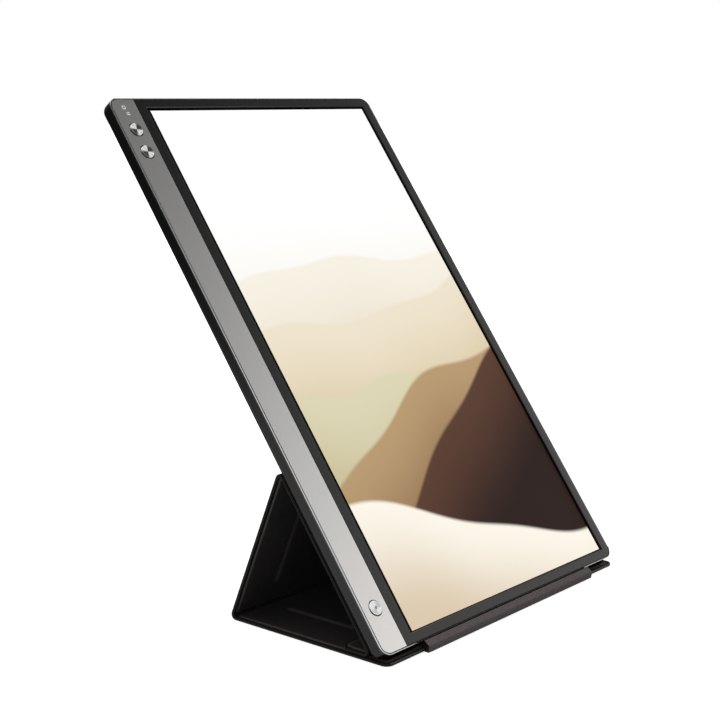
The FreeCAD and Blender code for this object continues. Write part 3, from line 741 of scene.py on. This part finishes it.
class MONITOR_OT_face(bpy.types.Operator):
    """Make the control strip and the bezel"""

    bl_idname = "monitor.face"
    bl_label = "Strip and bezel"

    def execute(self, context):
        body = sizes()
        half, edge = body.width / 2, body.trim + body.groove / 2
        strip_end = body.trim + body.strip - half
        self.strip(edge - half, strip_end, edge, body.height - edge, body.corner - edge)
        self.bezel(strip_end + body.seam, half - edge, edge, body.height - edge,
                   body.corner - edge)
        dress(frame["nodes"]["display_cell"], lit_picture())
        return {"FINISHED"}

    def strip(self, left, right, low, top, corner):
        """Metal strip with a hole for each button."""
        body = sizes()
        x = body.button_left - body.width / 2
        strip = start_plate("metal_strip", (left, low), (right, top), -body.face)
        round_corner(left, low, corner)
        round_corner(left, top, corner)
        pull(body.face)
        pick("EDGE", rim(0.0))
        soften(body.strip_edge, steps=2)
        close_piece()
        for y in button_heights().values():
            hole = start_disc("button_hole", body.button + body.button_gap, x, y, -2 * body.face)
            pull(3 * body.face)
            close_piece()
            take_out(strip, hole)
        # Aluminium, finely blasted and clear anodised: an even satin with no direction. The walls
        # of the holes take the black nylon finish as painted shade in the gap round each cap.
        dress(strip, grained("satin anodised aluminium", shades().strip, grain=0.15, depth=0.0015,
                             roughness=0.3, metallic=1.0, spread=0.04),
              grained("black nylon guide", shades().guide, grain=0.25, depth=0.004,
                      roughness=0.6, shine=0.2))

        # Faces round the holes take the black finish: painted shade
        def in_hole(face):
            reach = min(math.hypot(face.center.x - x, face.center.y - y)
                        for y in button_heights().values())
            return reach < body.button + 2 * body.button_gap
        assign(strip, in_hole)
        settle(strip, screen_matrix())
        carry(strip, "monitor", "strip_metal", "control_strip")

    def bezel(self, left, right, low, top, corner):
        """Plastic frame with a window for the picture."""
        body = sizes()
        half, chamfer = body.width / 2, body.bezel_chamfer
        bezel = start_plate("screen_bezel", (left, low), (right, top), -body.face)
        round_corner(right, low, corner)
        round_corner(right, top, corner)
        west, east = body.window_left - half, half - body.window_right
        south, north = body.window_bottom, body.height - body.window_top
        for axis, place in zip("XXYY", (west, east, south, north)):
            bpy.ops.mesh.select_all(action="SELECT")
            cut_across(axis, place)

        def in_window(place, reach):
            return (west - reach < place.x < east + reach
                    and south - reach < place.y < north + reach)
        pick("FACE", lambda place, face: in_window(place, 0.0))
        bpy.ops.mesh.delete(type="FACE")
        pull(body.face)
        sharp = rim(0.0)
        pick("EDGE", lambda place, edge: sharp(place, edge) and in_window(place, NEAR))
        soften(chamfer, steps=3)
        pick("EDGE", lambda place, edge: sharp(place, edge) and (
            place.x < left + NEAR or place.x > east + chamfer
            or place.y < low + NEAR or place.y > top - NEAR))
        soften(body.bezel_edge, steps=2)
        close_piece()
        # ABS with a fine satin grain: black, but it picks up a broad grey sheen from the light in
        # front. The wall of the window is matt and a darker black than the bezel: painted shade
        # that shows as a black line round the picture.
        dress(bezel, grained("satin black ABS", shades().bezel, grain=0.2, depth=0.003,
                             roughness=0.28, shine=0.63),
              grained("matt black ABS with painted shade", shades().window, grain=0.2, depth=0.003,
                      roughness=0.7, shine=0.05))
        assign(bezel, lambda face: in_window(face.center, chamfer)
               and abs(face.normal.z) < WALL_BELOW)
        settle(bezel, screen_matrix())
        carry(bezel, "monitor", "bezel_plastic", "front_bezel")


def button_heights():
    """Heights up the screen of the menu, select and power buttons."""
    body = sizes()
    return {"menu_button": body.menu_height, "select_button": body.select_height,
            "power_button": body.power_height}


class MONITOR_OT_buttons(bpy.types.Operator):
    """Make the three buttons and the signs beside them"""

    bl_idname = "monitor.buttons"
    bl_label = "Buttons"

    def execute(self, context):
        for name, y in button_heights().items():
            self.button(name, y)
        # Milky acrylic plug over the power light, pale grey while the light is off
        dress(frame["nodes"]["power_lens"], grained("milky acrylic", shades().lens, grain=0.4,
                                                    depth=0.001, roughness=0.15))
        # White ink, screen printed: a thin even layer with little gloss
        ink = grained("white screen ink", shades().mark, grain=0.15, depth=0.002,
                      roughness=0.55, spread=0.05)
        for name, kind, measures in SIGNS:
            draw = self.ring if kind == "ring" else self.bar
            draw(name, ink, *measures)
        return {"FINISHED"}

    def button(self, name, y):
        """Dished metal cap, with its flange and stem behind the strip."""
        body = sizes()
        x = body.button_left - body.width / 2
        behind = -body.face - body.flange_gap
        power = name == "power_button"
        cap = start_disc(name + "_cap", body.button, x, y, behind)
        pull(body.button_proud - behind)
        pick("EDGE", rim(body.button_proud))
        soften(body.button_edge, steps=3)
        pick("FACE", level(body.button_proud))
        bpy.ops.mesh.inset(thickness=body.button - body.button_edge - body.button_dish)
        bpy.ops.mesh.inset(thickness=body.button_dish - body.lens)
        bpy.ops.transform.translate(value=(0, 0, -body.dish_depth))
        if power:
            pull(-body.lens_seat, everything=False)
        pick("FACE", level(behind))
        pull(0, everything=False)
        widen = body.flange / body.button
        bpy.ops.transform.resize(value=(widen, widen, 1.0), center_override=(x, y, behind))
        pull(-body.flange_thickness, everything=False)
        bpy.ops.mesh.inset(thickness=body.flange - body.stem)
        pull(-body.stem_length, everything=False)
        close_piece()
        # Turned aluminium; on the power button the darker fans of painted shade are hardly darker
        # than the rest. The nylon flange and stem show as a black line in the gap round the cap.
        dress(cap, turned_metal("turned aluminium with painted fans " + name.split("_")[0], shades().button, x, y,
                                fan_shade_share=0.85 if power else 0.2),
              bpy.data.materials["black nylon guide"])
        assign(cap, lambda face: face.center.z < -body.face)
        settle(cap, screen_matrix(), smooth=28.0)
        carry(cap, name, "button_metal", name)

    def ring(self, name, ink, x, y, radius, line, start, sweep):
        """Flat ring, or part of one, printed on the strip."""
        body = sizes()
        inner, outer = (radius - line / 2) * MM, (radius + line / 2) * MM
        sign = start_plate(name, (inner, 0), (outer, body.ink), 0.0)
        bpy.ops.mesh.select_all(action="SELECT")
        bpy.ops.transform.rotate(value=-math.pi / 2, orient_axis="X", center_override=(0, 0, 0))
        bpy.ops.mesh.spin(steps=SIGN_STEPS, angle=math.radians(sweep), center=(0, 0, 0),
                          axis=(0, 0, 1))
        if sweep == 360:
            # A full turn leaves a wall inside the ring at each step
            weld()
            bpy.ops.mesh.select_mode(type="FACE")
            bpy.ops.mesh.select_all(action="DESELECT")
            bpy.ops.mesh.select_interior_faces()
            bpy.ops.mesh.delete(type="FACE")
        close_piece()
        # The quarter turn lays the ring above or below height 0, so its lower side is put on it
        low = min(vert.co.z for vert in sign.data.vertices)
        place = Matrix.Translation((x * MM - body.width / 2, y * MM, -low))
        self.stamp(sign, ink, place @ Matrix.Rotation(math.radians(start), 4, "Z"))

    def bar(self, name, ink, left, right, low, high):
        """Flat bar printed on the strip."""
        body = sizes()
        edge = -body.width / 2
        sign = start_plate(name, (edge + left * MM, low * MM), (edge + right * MM, high * MM), 0.0)
        pull(body.ink)
        close_piece()
        self.stamp(sign, ink, Matrix.Identity(4))

    def stamp(self, sign, ink, place):
        """Put a sign in its place on the strip."""
        settle(sign, screen_matrix() @ place)
        dress(sign, ink)
        carry(sign, "monitor", "strip_metal")


# Pieces inside, of one finish each: name, colour, grain and relief in mm, roughness, metallic, then
# the nodes. Tape, films, sheet metal, foam, boards and magnets are plain stock: a grain is enough.
STOCK = (
    ("acrylic foam tape", "#0C0C0C", 0.5, 0.010, 0.60, 0.0, "bezel_tape"),
    ("diffuser film", "#DEE3E6", 0.8, 0.002, 0.30, 0.0, "optical_films"),
    ("acrylic light guide", "#E6ECEC", 1.5, 0.004, 0.12, 0.0, "light_guide"),
    ("white reflector film", "#F2F2EE", 0.6, 0.002, 0.45, 0.0, "reflector_sheet"),
    ("pressed zinc-plated steel", "#A9ACAE", 1.2, 0.004, 0.38, 1.0, "panel_frame", "keeper_plates"),
    ("white light bar", "#EFEDE2", 0.9, 0.004, 0.40, 0.0, "led_bar"),
    ("grey polyurethane foam", "#4A4B4C", 0.6, 0.060, 0.90, 0.0, "panel_pads"),
    ("green solder mask", "#14532D", 0.7, 0.006, 0.35, 0.0, "main_board", "button_board"),
    ("zinc-plated screw steel", "#B9BABB", 0.3, 0.003, 0.32, 1.0, "board_screws"),
    ("moulded black epoxy", "#151516", 0.25, 0.006, 0.55, 0.0, "board_chips", "tact_switches"),
    ("amber polyimide film", "#A8611B", 0.8, 0.003, 0.30, 0.0, "display_ribbon", "button_ribbon"),
    ("drawn stainless steel", "#B4B5B6", 0.3, 0.003, 0.30, 1.0, "usb_shell"),
    ("moulded black nylon", "#101011", 0.25, 0.006, 0.50, 0.0, "usb_tongue"),
    ("grey bookbinding board", "#6B665F", 0.7, 0.030, 0.85, 0.0,
     "base_board", "strut_board", "back_board", "flap_board"),
    ("nickel-plated magnet", "#BDBAB2", 0.5, 0.002, 0.28, 1.0,
     "base_magnets", "back_magnets", "flap_magnets"),
    ("black nylon bar", "#161616", 0.3, 0.006, 0.55, 0.0, "lip_core"),
)


class MONITOR_OT_inner_parts(bpy.types.Operator):
    """Give the pieces inside the monitor and the cover their finishes"""

    bl_idname = "monitor.inner_parts"
    bl_label = "Inner parts"

    def execute(self, context):
        for name, code, grain, depth, roughness, metallic, *nodes in STOCK:
            material = grained(name, linear(code), grain, depth, roughness, metallic)
            for node in nodes:
                dress(frame["nodes"][node], material)
        return {"FINISHED"}


class COVER_OT_panels(bpy.types.Operator):
    """Make the base, the strut, the back panel and the flap"""

    bl_idname = "cover.panels"
    bl_label = "Panels"

    def execute(self, context):
        sheet = cover()
        # One polyurethane leather in four states: dull and black outside, smoother and greyer
        # inside.
        # The pressed lines and the slope inside the turned edge are paler, with more gloss; their
        # paler colour is painted highlight.
        tints = shades()
        layers = (
            leather("black polyurethane leather", tints.skin, roughness=0.5, shine=0.09),
            leather("smooth polyurethane lining", tints.lining, roughness=0.5, shine=0.4),
            leather("polyurethane with painted crease highlight", tints.pressed, roughness=0.35, shine=0.4,
                    ground=tints.lining),
            leather("polyurethane with painted ridge highlight", tints.ridge_highlight_tint, roughness=0.42, shine=0.4))
        flap_end = FOOT.y - REAR.y + sheet.flap
        groove = SCREEN_EDGE.y - REAR.y + sheet.groove_back
        base = self.panel("base_panel", -sheet.base, 0.0, (0.0,), (sheet.base_corner, 0.0),
                          (flap_end + sheet.crease_end, -sheet.crease_end), groove)
        self.finish(base, layers, REAR, 0.0, "base", "base_skin", "base_lining")
        strut = self.panel("strut_panel", 0.0, STRUT_L, (0.0, STRUT_L),
                           creases=(sheet.crease_end, STRUT_L - sheet.crease_end))
        self.finish(strut, layers, REAR, STRUT_TURN, "strut", "strut_skin", "strut_lining")
        back = self.panel("back_panel_sheet", 0.0, BACK_L, (0.0, BACK_L))
        self.finish(back, layers, APEX, BACK_TURN, "back_panel", "back_skin", "back_lining")
        flap = self.panel("flap_panel", 0.0, sheet.flap, (0.0,), (0.0, sheet.flap_corner))
        self.finish(flap, layers, FOOT, 0.0, "flap", "flap_skin", "flap_lining")
        return {"FINISHED"}

    def panel(self, name, start, end, folds, corners=(0.0, 0.0), creases=None, groove=None):
        """Panel between two ends, one or both at a fold: a thin border round a raised board."""
        sheet = cover()
        half = sheet.width / 2
        # At a fold the panel is drawn longer and cut off later, so that its turned edge ends there
        over = sheet.border_width + 2 * sheet.valley_width + MM
        start, end = start - over * (start in folds), end + over * (end in folds)
        piece = start_plate(name, (-half, start), (half, end), 0.0)
        for radius, y in zip(corners, (start, end)):
            if radius > 0:
                round_corner(-half, y, radius, steps=10)
                round_corner(half, y, radius, steps=10)
        pull(sheet.border)
        pick("FACE", level(sheet.border))
        bpy.ops.mesh.inset(thickness=sheet.border_width)
        rise = sheet.thickness - sheet.border + sheet.valley
        for step in (-sheet.valley, rise):
            bpy.ops.mesh.inset(thickness=sheet.valley_width)
            bpy.ops.transform.translate(value=(0, 0, step))
        if creases:
            for middle in (sheet.crease_inset - half, half - sheet.crease_inset):
                self.press((middle - sheet.crease / 2, middle + sheet.crease / 2), creases,
                           CREASE_SLOPE * sheet.crease, sheet.crease_depth)
        if groove is not None:
            self.press((over - half, half - over),
                       (groove - sheet.groove / 2, groove + sheet.groove / 2),
                       GROOVE_SLOPE * sheet.groove, sheet.groove_depth)
        outline = rim(sheet.thickness, STEP_BEND)
        pick("EDGE", lambda place, edge: outline(place, edge) and self.at_step(place, start, end))
        soften(STEP_SOFT * sheet.valley_width, steps=3)
        for z in (sheet.border, 0.0):
            sharp = rim(z)
            pick("EDGE", lambda place, edge: sharp(place, edge)
                 and self.at_border(place, start, end))
            soften(sheet.edge, steps=4)
        for y in folds:
            bpy.ops.mesh.select_all(action="SELECT")
            bpy.ops.mesh.bisect(plane_co=(0, y, 0), plane_no=(0, 1, 0), use_fill=True,
                                clear_inner=y < start + 2 * over, clear_outer=y > end - 2 * over)
        close_piece()
        return piece

    def press(self, across, lengthways, slope, depth):
        """Press a rectangle into the raised face."""
        flat = level(cover().thickness)
        for axis, place in zip("XXYY", across + lengthways):
            pick("FACE", flat)
            cut_across(axis, place)
        pick("FACE", lambda place, face: flat(place, face) and across[0] < place.x < across[1]
             and lengthways[0] < place.y < lengthways[1])
        bpy.ops.mesh.inset(thickness=slope, depth=-depth)

    def at_step(self, place, start, end):
        """True near the outline of the raised board."""
        sheet = cover()
        inner = sheet.border_width + 2 * sheet.valley_width
        corner = max(sheet.base_corner, sheet.flap_corner)
        return (abs(place.x) > sheet.width / 2 - inner - corner or place.y < start + inner + NEAR
                or place.y > end - inner - NEAR)

    def at_border(self, place, start, end):
        """True on the outer outline of the panel."""
        sheet = cover()
        half, reach = sheet.width / 2, sheet.border_width / 2
        corner = max(sheet.base_corner, sheet.flap_corner)
        beside = abs(place.x) > half - reach
        across = place.y < start + reach or place.y > end - reach
        rounded = abs(place.x) > half - corner
        return beside or across or (rounded and (place.y < start + corner
                                                 or place.y > end - corner))

    def finish(self, piece, materials, axis, turn, body, *nodes):
        """Give each face the finish of its place, and put the panel where it belongs."""
        sheet = cover()
        half, top = sheet.width / 2, sheet.thickness
        inner = half - sheet.border_width - sheet.valley_width

        def layer(face):
            at = face.center
            # Faces of the pressed lines take the paler finish: painted highlight
            if (abs(abs(at.x) - half + sheet.crease_inset) < sheet.crease / 2
                    and top - sheet.crease_depth - NEAR < at.z < top - NEAR):
                return PAINTED_CREASE
            # The slope inside the turned edge takes a paler finish: painted highlight
            if (face.normal.z < SLOPE_BELOW and at.z > sheet.border - sheet.valley
                    and abs(at.x) < inner):
                return PAINTED_RIDGE
            return LINING if at.z > sheet.border + NEAR else SKIN
        dress(piece, *materials)
        assign(piece, layer)
        settle(piece, panel_matrix(axis, turn), smooth=40.0)
        carry(piece, body, "cover_skin", *nodes)


class COVER_OT_folds(bpy.types.Operator):
    """Make the three soft folds between the panels"""

    bl_idname = "cover.folds"
    bl_label = "Folds"

    def execute(self, context):
        quarter = math.pi / 2
        strut_out, back_out = STRUT_TURN - quarter, BACK_TURN - quarter
        self.fold("rear_fold_strip", REAR, -quarter, strut_out, "base", "strut", "rear_fold")
        self.fold("apex_fold_strip", APEX, strut_out, back_out, "strut", "back_panel", "apex_fold")
        self.fold("foot_fold_strip", FOOT, back_out, 3 * quarter, "back_panel", "flap", "foot_fold")
        return {"FINISHED"}

    def fold(self, name, axis, start, end, first, second, node):
        """Strip of the cover's border, spun about its fold line."""
        sheet = cover()
        half = sheet.width / 2
        strip = start_plate(name, (-half, sheet.fold - sheet.border), (half, sheet.fold), 0.0)
        bpy.ops.mesh.select_all(action="SELECT")
        bpy.ops.mesh.spin(steps=sheet.fold_steps, angle=end - start, center=(0, 0, 0),
                          axis=(1, 0, 0))
        weld()

        def long_arc(place, edge):
            reach = [math.hypot(vert.co.y, vert.co.z) for vert in edge.verts]
            return near(abs(place.x), half) and along(edge, "x") and near(*reach)
        pick("EDGE", long_arc)
        soften(sheet.edge, steps=4)
        close_piece()
        if sum(vert.co.z for vert in strip.data.vertices) < 0:
            # Spun downwards, so the strip is turned over
            strip.data.transform(Matrix.Scale(-1, 4, (0, 0, 1)))
            bpy.ops.object.mode_set(mode="EDIT")
            close_piece()
        settle(strip, Matrix.Translation(axis) @ Matrix.Rotation(start, 4, "X"), smooth=40.0)
        dress(strip, bpy.data.materials["black polyurethane leather"])
        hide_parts(node)
        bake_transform(strip)


class COVER_OT_lip(bpy.types.Operator):
    """Make the wrapped lip that the monitor's lower edge leans on"""

    bl_idname = "cover.lip"
    bl_label = "Lip"

    def execute(self, context):
        sheet = cover()
        y, top, foot = SCREEN_EDGE.y, sheet.thickness, sheet.lip_foot
        front, back, heel = y - sheet.lip_front, y - sheet.lip_back, y + sheet.lip_heel
        outline = ((front + sheet.lip_slant, foot), (front, sheet.lip_shoulder),
                   (y - sheet.lip_crest, SCREEN_EDGE.z + sheet.lip_crest_rise),
                   (heel, top + sheet.lip_heel_rise), (heel, top), (back, top), (back, foot))
        put_down()
        bpy.ops.mesh.primitive_circle_add(vertices=len(outline), radius=MM, fill_type="NGON")
        for vert, place in zip(bpy.context.object.data.vertices, outline):
            vert.co = (-sheet.lip / 2, *place)
        lip = open_piece("lip_wrap")
        bpy.ops.mesh.select_all(action="SELECT")
        bpy.ops.mesh.extrude_region_move(TRANSFORM_OT_translate={"value": (sheet.lip, 0, 0)})
        weld()
        # The long edges of the upper part, then the square outlines of both ends
        pick("EDGE", lambda place, edge: edge.calc_face_angle() > LIP_BEND
             and place.z > sheet.lip_plain and not along(edge, "x"))
        soften(sheet.lip_round, steps=4)
        pick("EDGE", lambda place, edge: edge.calc_face_angle() > LIP_END_BEND
             and along(edge, "x"))
        soften(sheet.lip_end, steps=2)
        close_piece()
        settle(lip, Matrix.Identity(4), smooth=40.0)
        # Leather wrapped round a bar, warm grey and quite matt. Its two end faces take the black
        # skin as painted shade.
        dress(lip, leather("polyurethane leather wrap", shades().lip, roughness=0.6, shine=0.03),
              bpy.data.materials["black polyurethane leather"])
        assign(lip, lambda face: abs(face.normal.x) > END_ABOVE)
        carry(lip, "base", "lip_skin", "lip_skin")
        return {"FINISHED"}


class MONITOR_OT_stage(bpy.types.Operator):
    """Set the floor, the lights and the camera"""

    bl_idname = "monitor.stage"
    bl_label = "Studio"

    def execute(self, context):
        scene = context.scene
        scene.view_settings.view_transform = "Standard"
        floor = start_plate("studio_floor", (-FLOOR_HALF, -FLOOR_HALF), (FLOOR_HALF, FLOOR_HALF),
                            0.0)
        put_down()
        dress(floor, self.floor_finish())
        self.sky(scene)
        for lamp in LAMPS:
            self.lamp(*lamp)
        self.camera(scene)
        return {"FINISHED"}

    def floor_finish(self):
        """Matt white floor that keeps the object's shadow and fades into the background."""
        material, node, shader = start_finish("matt white studio floor")
        far_grey, thrown_grey = (0.02, 0.02, 0.02, 1), (0.35, 0.35, 0.35, 1)
        path = node("LightPath").outputs
        grain = node("TexNoise", {"Vector": object_place(node), "Scale": 1 / (30 * MM),
                                  "Detail": 2.0})
        white = node("Mix", {"Factor": grain, "A": scaled(shades().floor, 0.99),
                             "B": scaled(shades().floor)}, data_type="RGBA")
        # A glow seen by the camera alone carries the floor up to white away from the object
        reach = node("VectorMath", {0: object_place(node)}, operation="LENGTH")
        far = node("MapRange", {"Value": reach, "From Min": 0.2, "From Max": 1.0, "To Min": 0.5,
                                "To Max": 1.0}, **SMOOTH)
        lifted = node("Math", {0: path["Is Camera Ray"], 1: far}, operation="MULTIPLY")
        # Gloss on the object shows a white table round it, which ends about a metre away
        ends = node("MapRange", {"Value": reach, "From Min": 0.3, "From Max": 1.1}, **SMOOTH)
        beyond = node("Math", {0: path["Is Glossy Ray"], 1: ends}, operation="MULTIPLY")
        table = node("Mix", {"Factor": beyond, "A": white, "B": far_grey}, data_type="RGBA")
        bright = node("MapRange", {"Value": ends, "To Min": 0.6, "To Max": 0.0})
        glow = node("Math", {0: path["Is Glossy Ray"], 1: bright, 2: lifted},
                    operation="MULTIPLY_ADD")
        # The light that the floor throws back onto the object is that of a grey table
        thrown = node("Mix", {"Factor": path["Is Diffuse Ray"], "A": table, "B": thrown_grey},
                      data_type="RGBA")
        fill(shader, {"Base Color": thrown, "Roughness": 0.9, "Specular IOR Level": 0.0,
                      "Emission Color": (1, 1, 1, 1), "Emission Strength": glow})
        return material

    def sky(self, scene):
        """White to the camera. Gloss shows a warm white band low in front that darkens upwards."""
        world = bpy.data.worlds.new("studio")
        scene.world = world
        world.use_nodes = True
        node = partial(add_node, world.node_tree)
        cool, warm, white = (0.98, 0.99, 1.0, 1), (1.0, 0.97, 0.945, 1), (1, 1, 1, 1)
        path = node("LightPath").outputs
        place = node("SeparateXYZ", {0: node("TexCoord").outputs["Generated"]}).outputs
        rise = node("MapRange", {"Value": place["Z"], "From Min": 0.40, "From Max": 0.69,
                                 "To Min": 1.0, "To Max": 0.1})
        behind = node("MapRange", {"Value": place["Y"], "From Max": 0.5, "To Min": 1.0,
                                   "To Max": 0.12}, **SMOOTH)
        band = node("Math", {0: rise, 1: behind}, operation="MULTIPLY")
        tint = node("Mix", {"Factor": rise, "A": cool, "B": warm}, data_type="RGBA")
        # Matt surfaces get a soft light that is strongest from overhead
        soft = node("MapRange", {"Value": place["Z"], "To Min": 0.2, "To Max": 1.05})
        shed = node("Mix", {"Factor": path["Is Glossy Ray"], "A": soft, "B": band})
        strength = node("Mix", {"Factor": path["Is Camera Ray"], "A": shed, "B": 1.0})
        tone = node("Mix", {"Factor": path["Is Camera Ray"], "A": tint, "B": white},
                    data_type="RGBA")
        fill(world.node_tree.nodes["Background"], {"Color": tone, "Strength": strength})

    def lamp(self, name, place, width, power):
        """Soft square lamp aimed at the object."""
        put_down()
        bpy.ops.object.light_add(type="AREA", location=place)
        lamp = bpy.context.object
        lamp.name = name
        lamp.data.size = width
        lamp.data.energy = power
        aim = (LAMP_TARGET - Vector(place)).to_track_quat("-Z", "Y")
        lamp.rotation_euler = aim.to_euler()

    def camera(self, scene):
        """Camera for a square image."""
        put_down()
        bpy.ops.object.camera_add()
        camera = bpy.context.object
        camera.name = "studio_camera"
        around, above, roll = (math.radians(turn) for turn in CAMERA_TURNS)
        back = Vector((math.sin(around) * math.cos(above), -math.cos(around) * math.cos(above),
                       math.sin(above)))
        right = Vector((math.cos(around), math.sin(around), 0.0))
        up = back.cross(right)
        across = right * math.cos(roll) + up * math.sin(roll)
        upward = up * math.cos(roll) - right * math.sin(roll)
        turn = Matrix((across, upward, back)).transposed().to_4x4()
        camera.matrix_world = Matrix.Translation(CAMERA_PLACE) @ turn
        camera.data.lens = CAMERA_LENS
        camera.data.sensor_width = CAMERA_SENSOR
        camera.data.shift_x, camera.data.shift_y = CAMERA_SHIFT
        scene.camera = camera


class MONITOR_PT_sidebar(bpy.types.Panel):
    """Lists the pieces, their sizes and their colours."""

    bl_idname = "MONITOR_PT_sidebar"
    bl_label = "Portable monitor"
    bl_space_type = "VIEW_3D"
    bl_region_type = "UI"
    bl_category = "Monitor"

    def draw(self, context):
        column = self.layout.column()
        for maker in MAKERS:
            column.operator(maker.bl_idname)
        for group in (sizes(), cover(), shades()):
            box = self.layout.box()
            for name in group.__annotations__:
                box.prop(group, name)


MAKERS = (MONITOR_OT_inner_parts, MONITOR_OT_housing, MONITOR_OT_face, MONITOR_OT_buttons,
          COVER_OT_panels, COVER_OT_folds, COVER_OT_lip, MONITOR_OT_stage)
CLASSES = (MonitorSizes, CoverSizes, Finishes) + MAKERS + (MONITOR_PT_sidebar,)


def register():
    for kind in CLASSES:
        bpy.utils.register_class(kind)
    bpy.types.Scene.monitor_sizes = PointerProperty(type=MonitorSizes)
    bpy.types.Scene.cover_sizes = PointerProperty(type=CoverSizes)
    bpy.types.Scene.monitor_finishes = PointerProperty(type=Finishes)


def unregister():
    del bpy.types.Scene.monitor_finishes
    del bpy.types.Scene.cover_sizes
    del bpy.types.Scene.monitor_sizes
    for kind in reversed(CLASSES):
        bpy.utils.unregister_class(kind)


def main():
    """Make every piece in order."""
    register()
    for maker in MAKERS:
        group, action = maker.bl_idname.split(".")
        getattr(getattr(bpy.ops, group), action)()


if __name__ == "__main__":
    main()
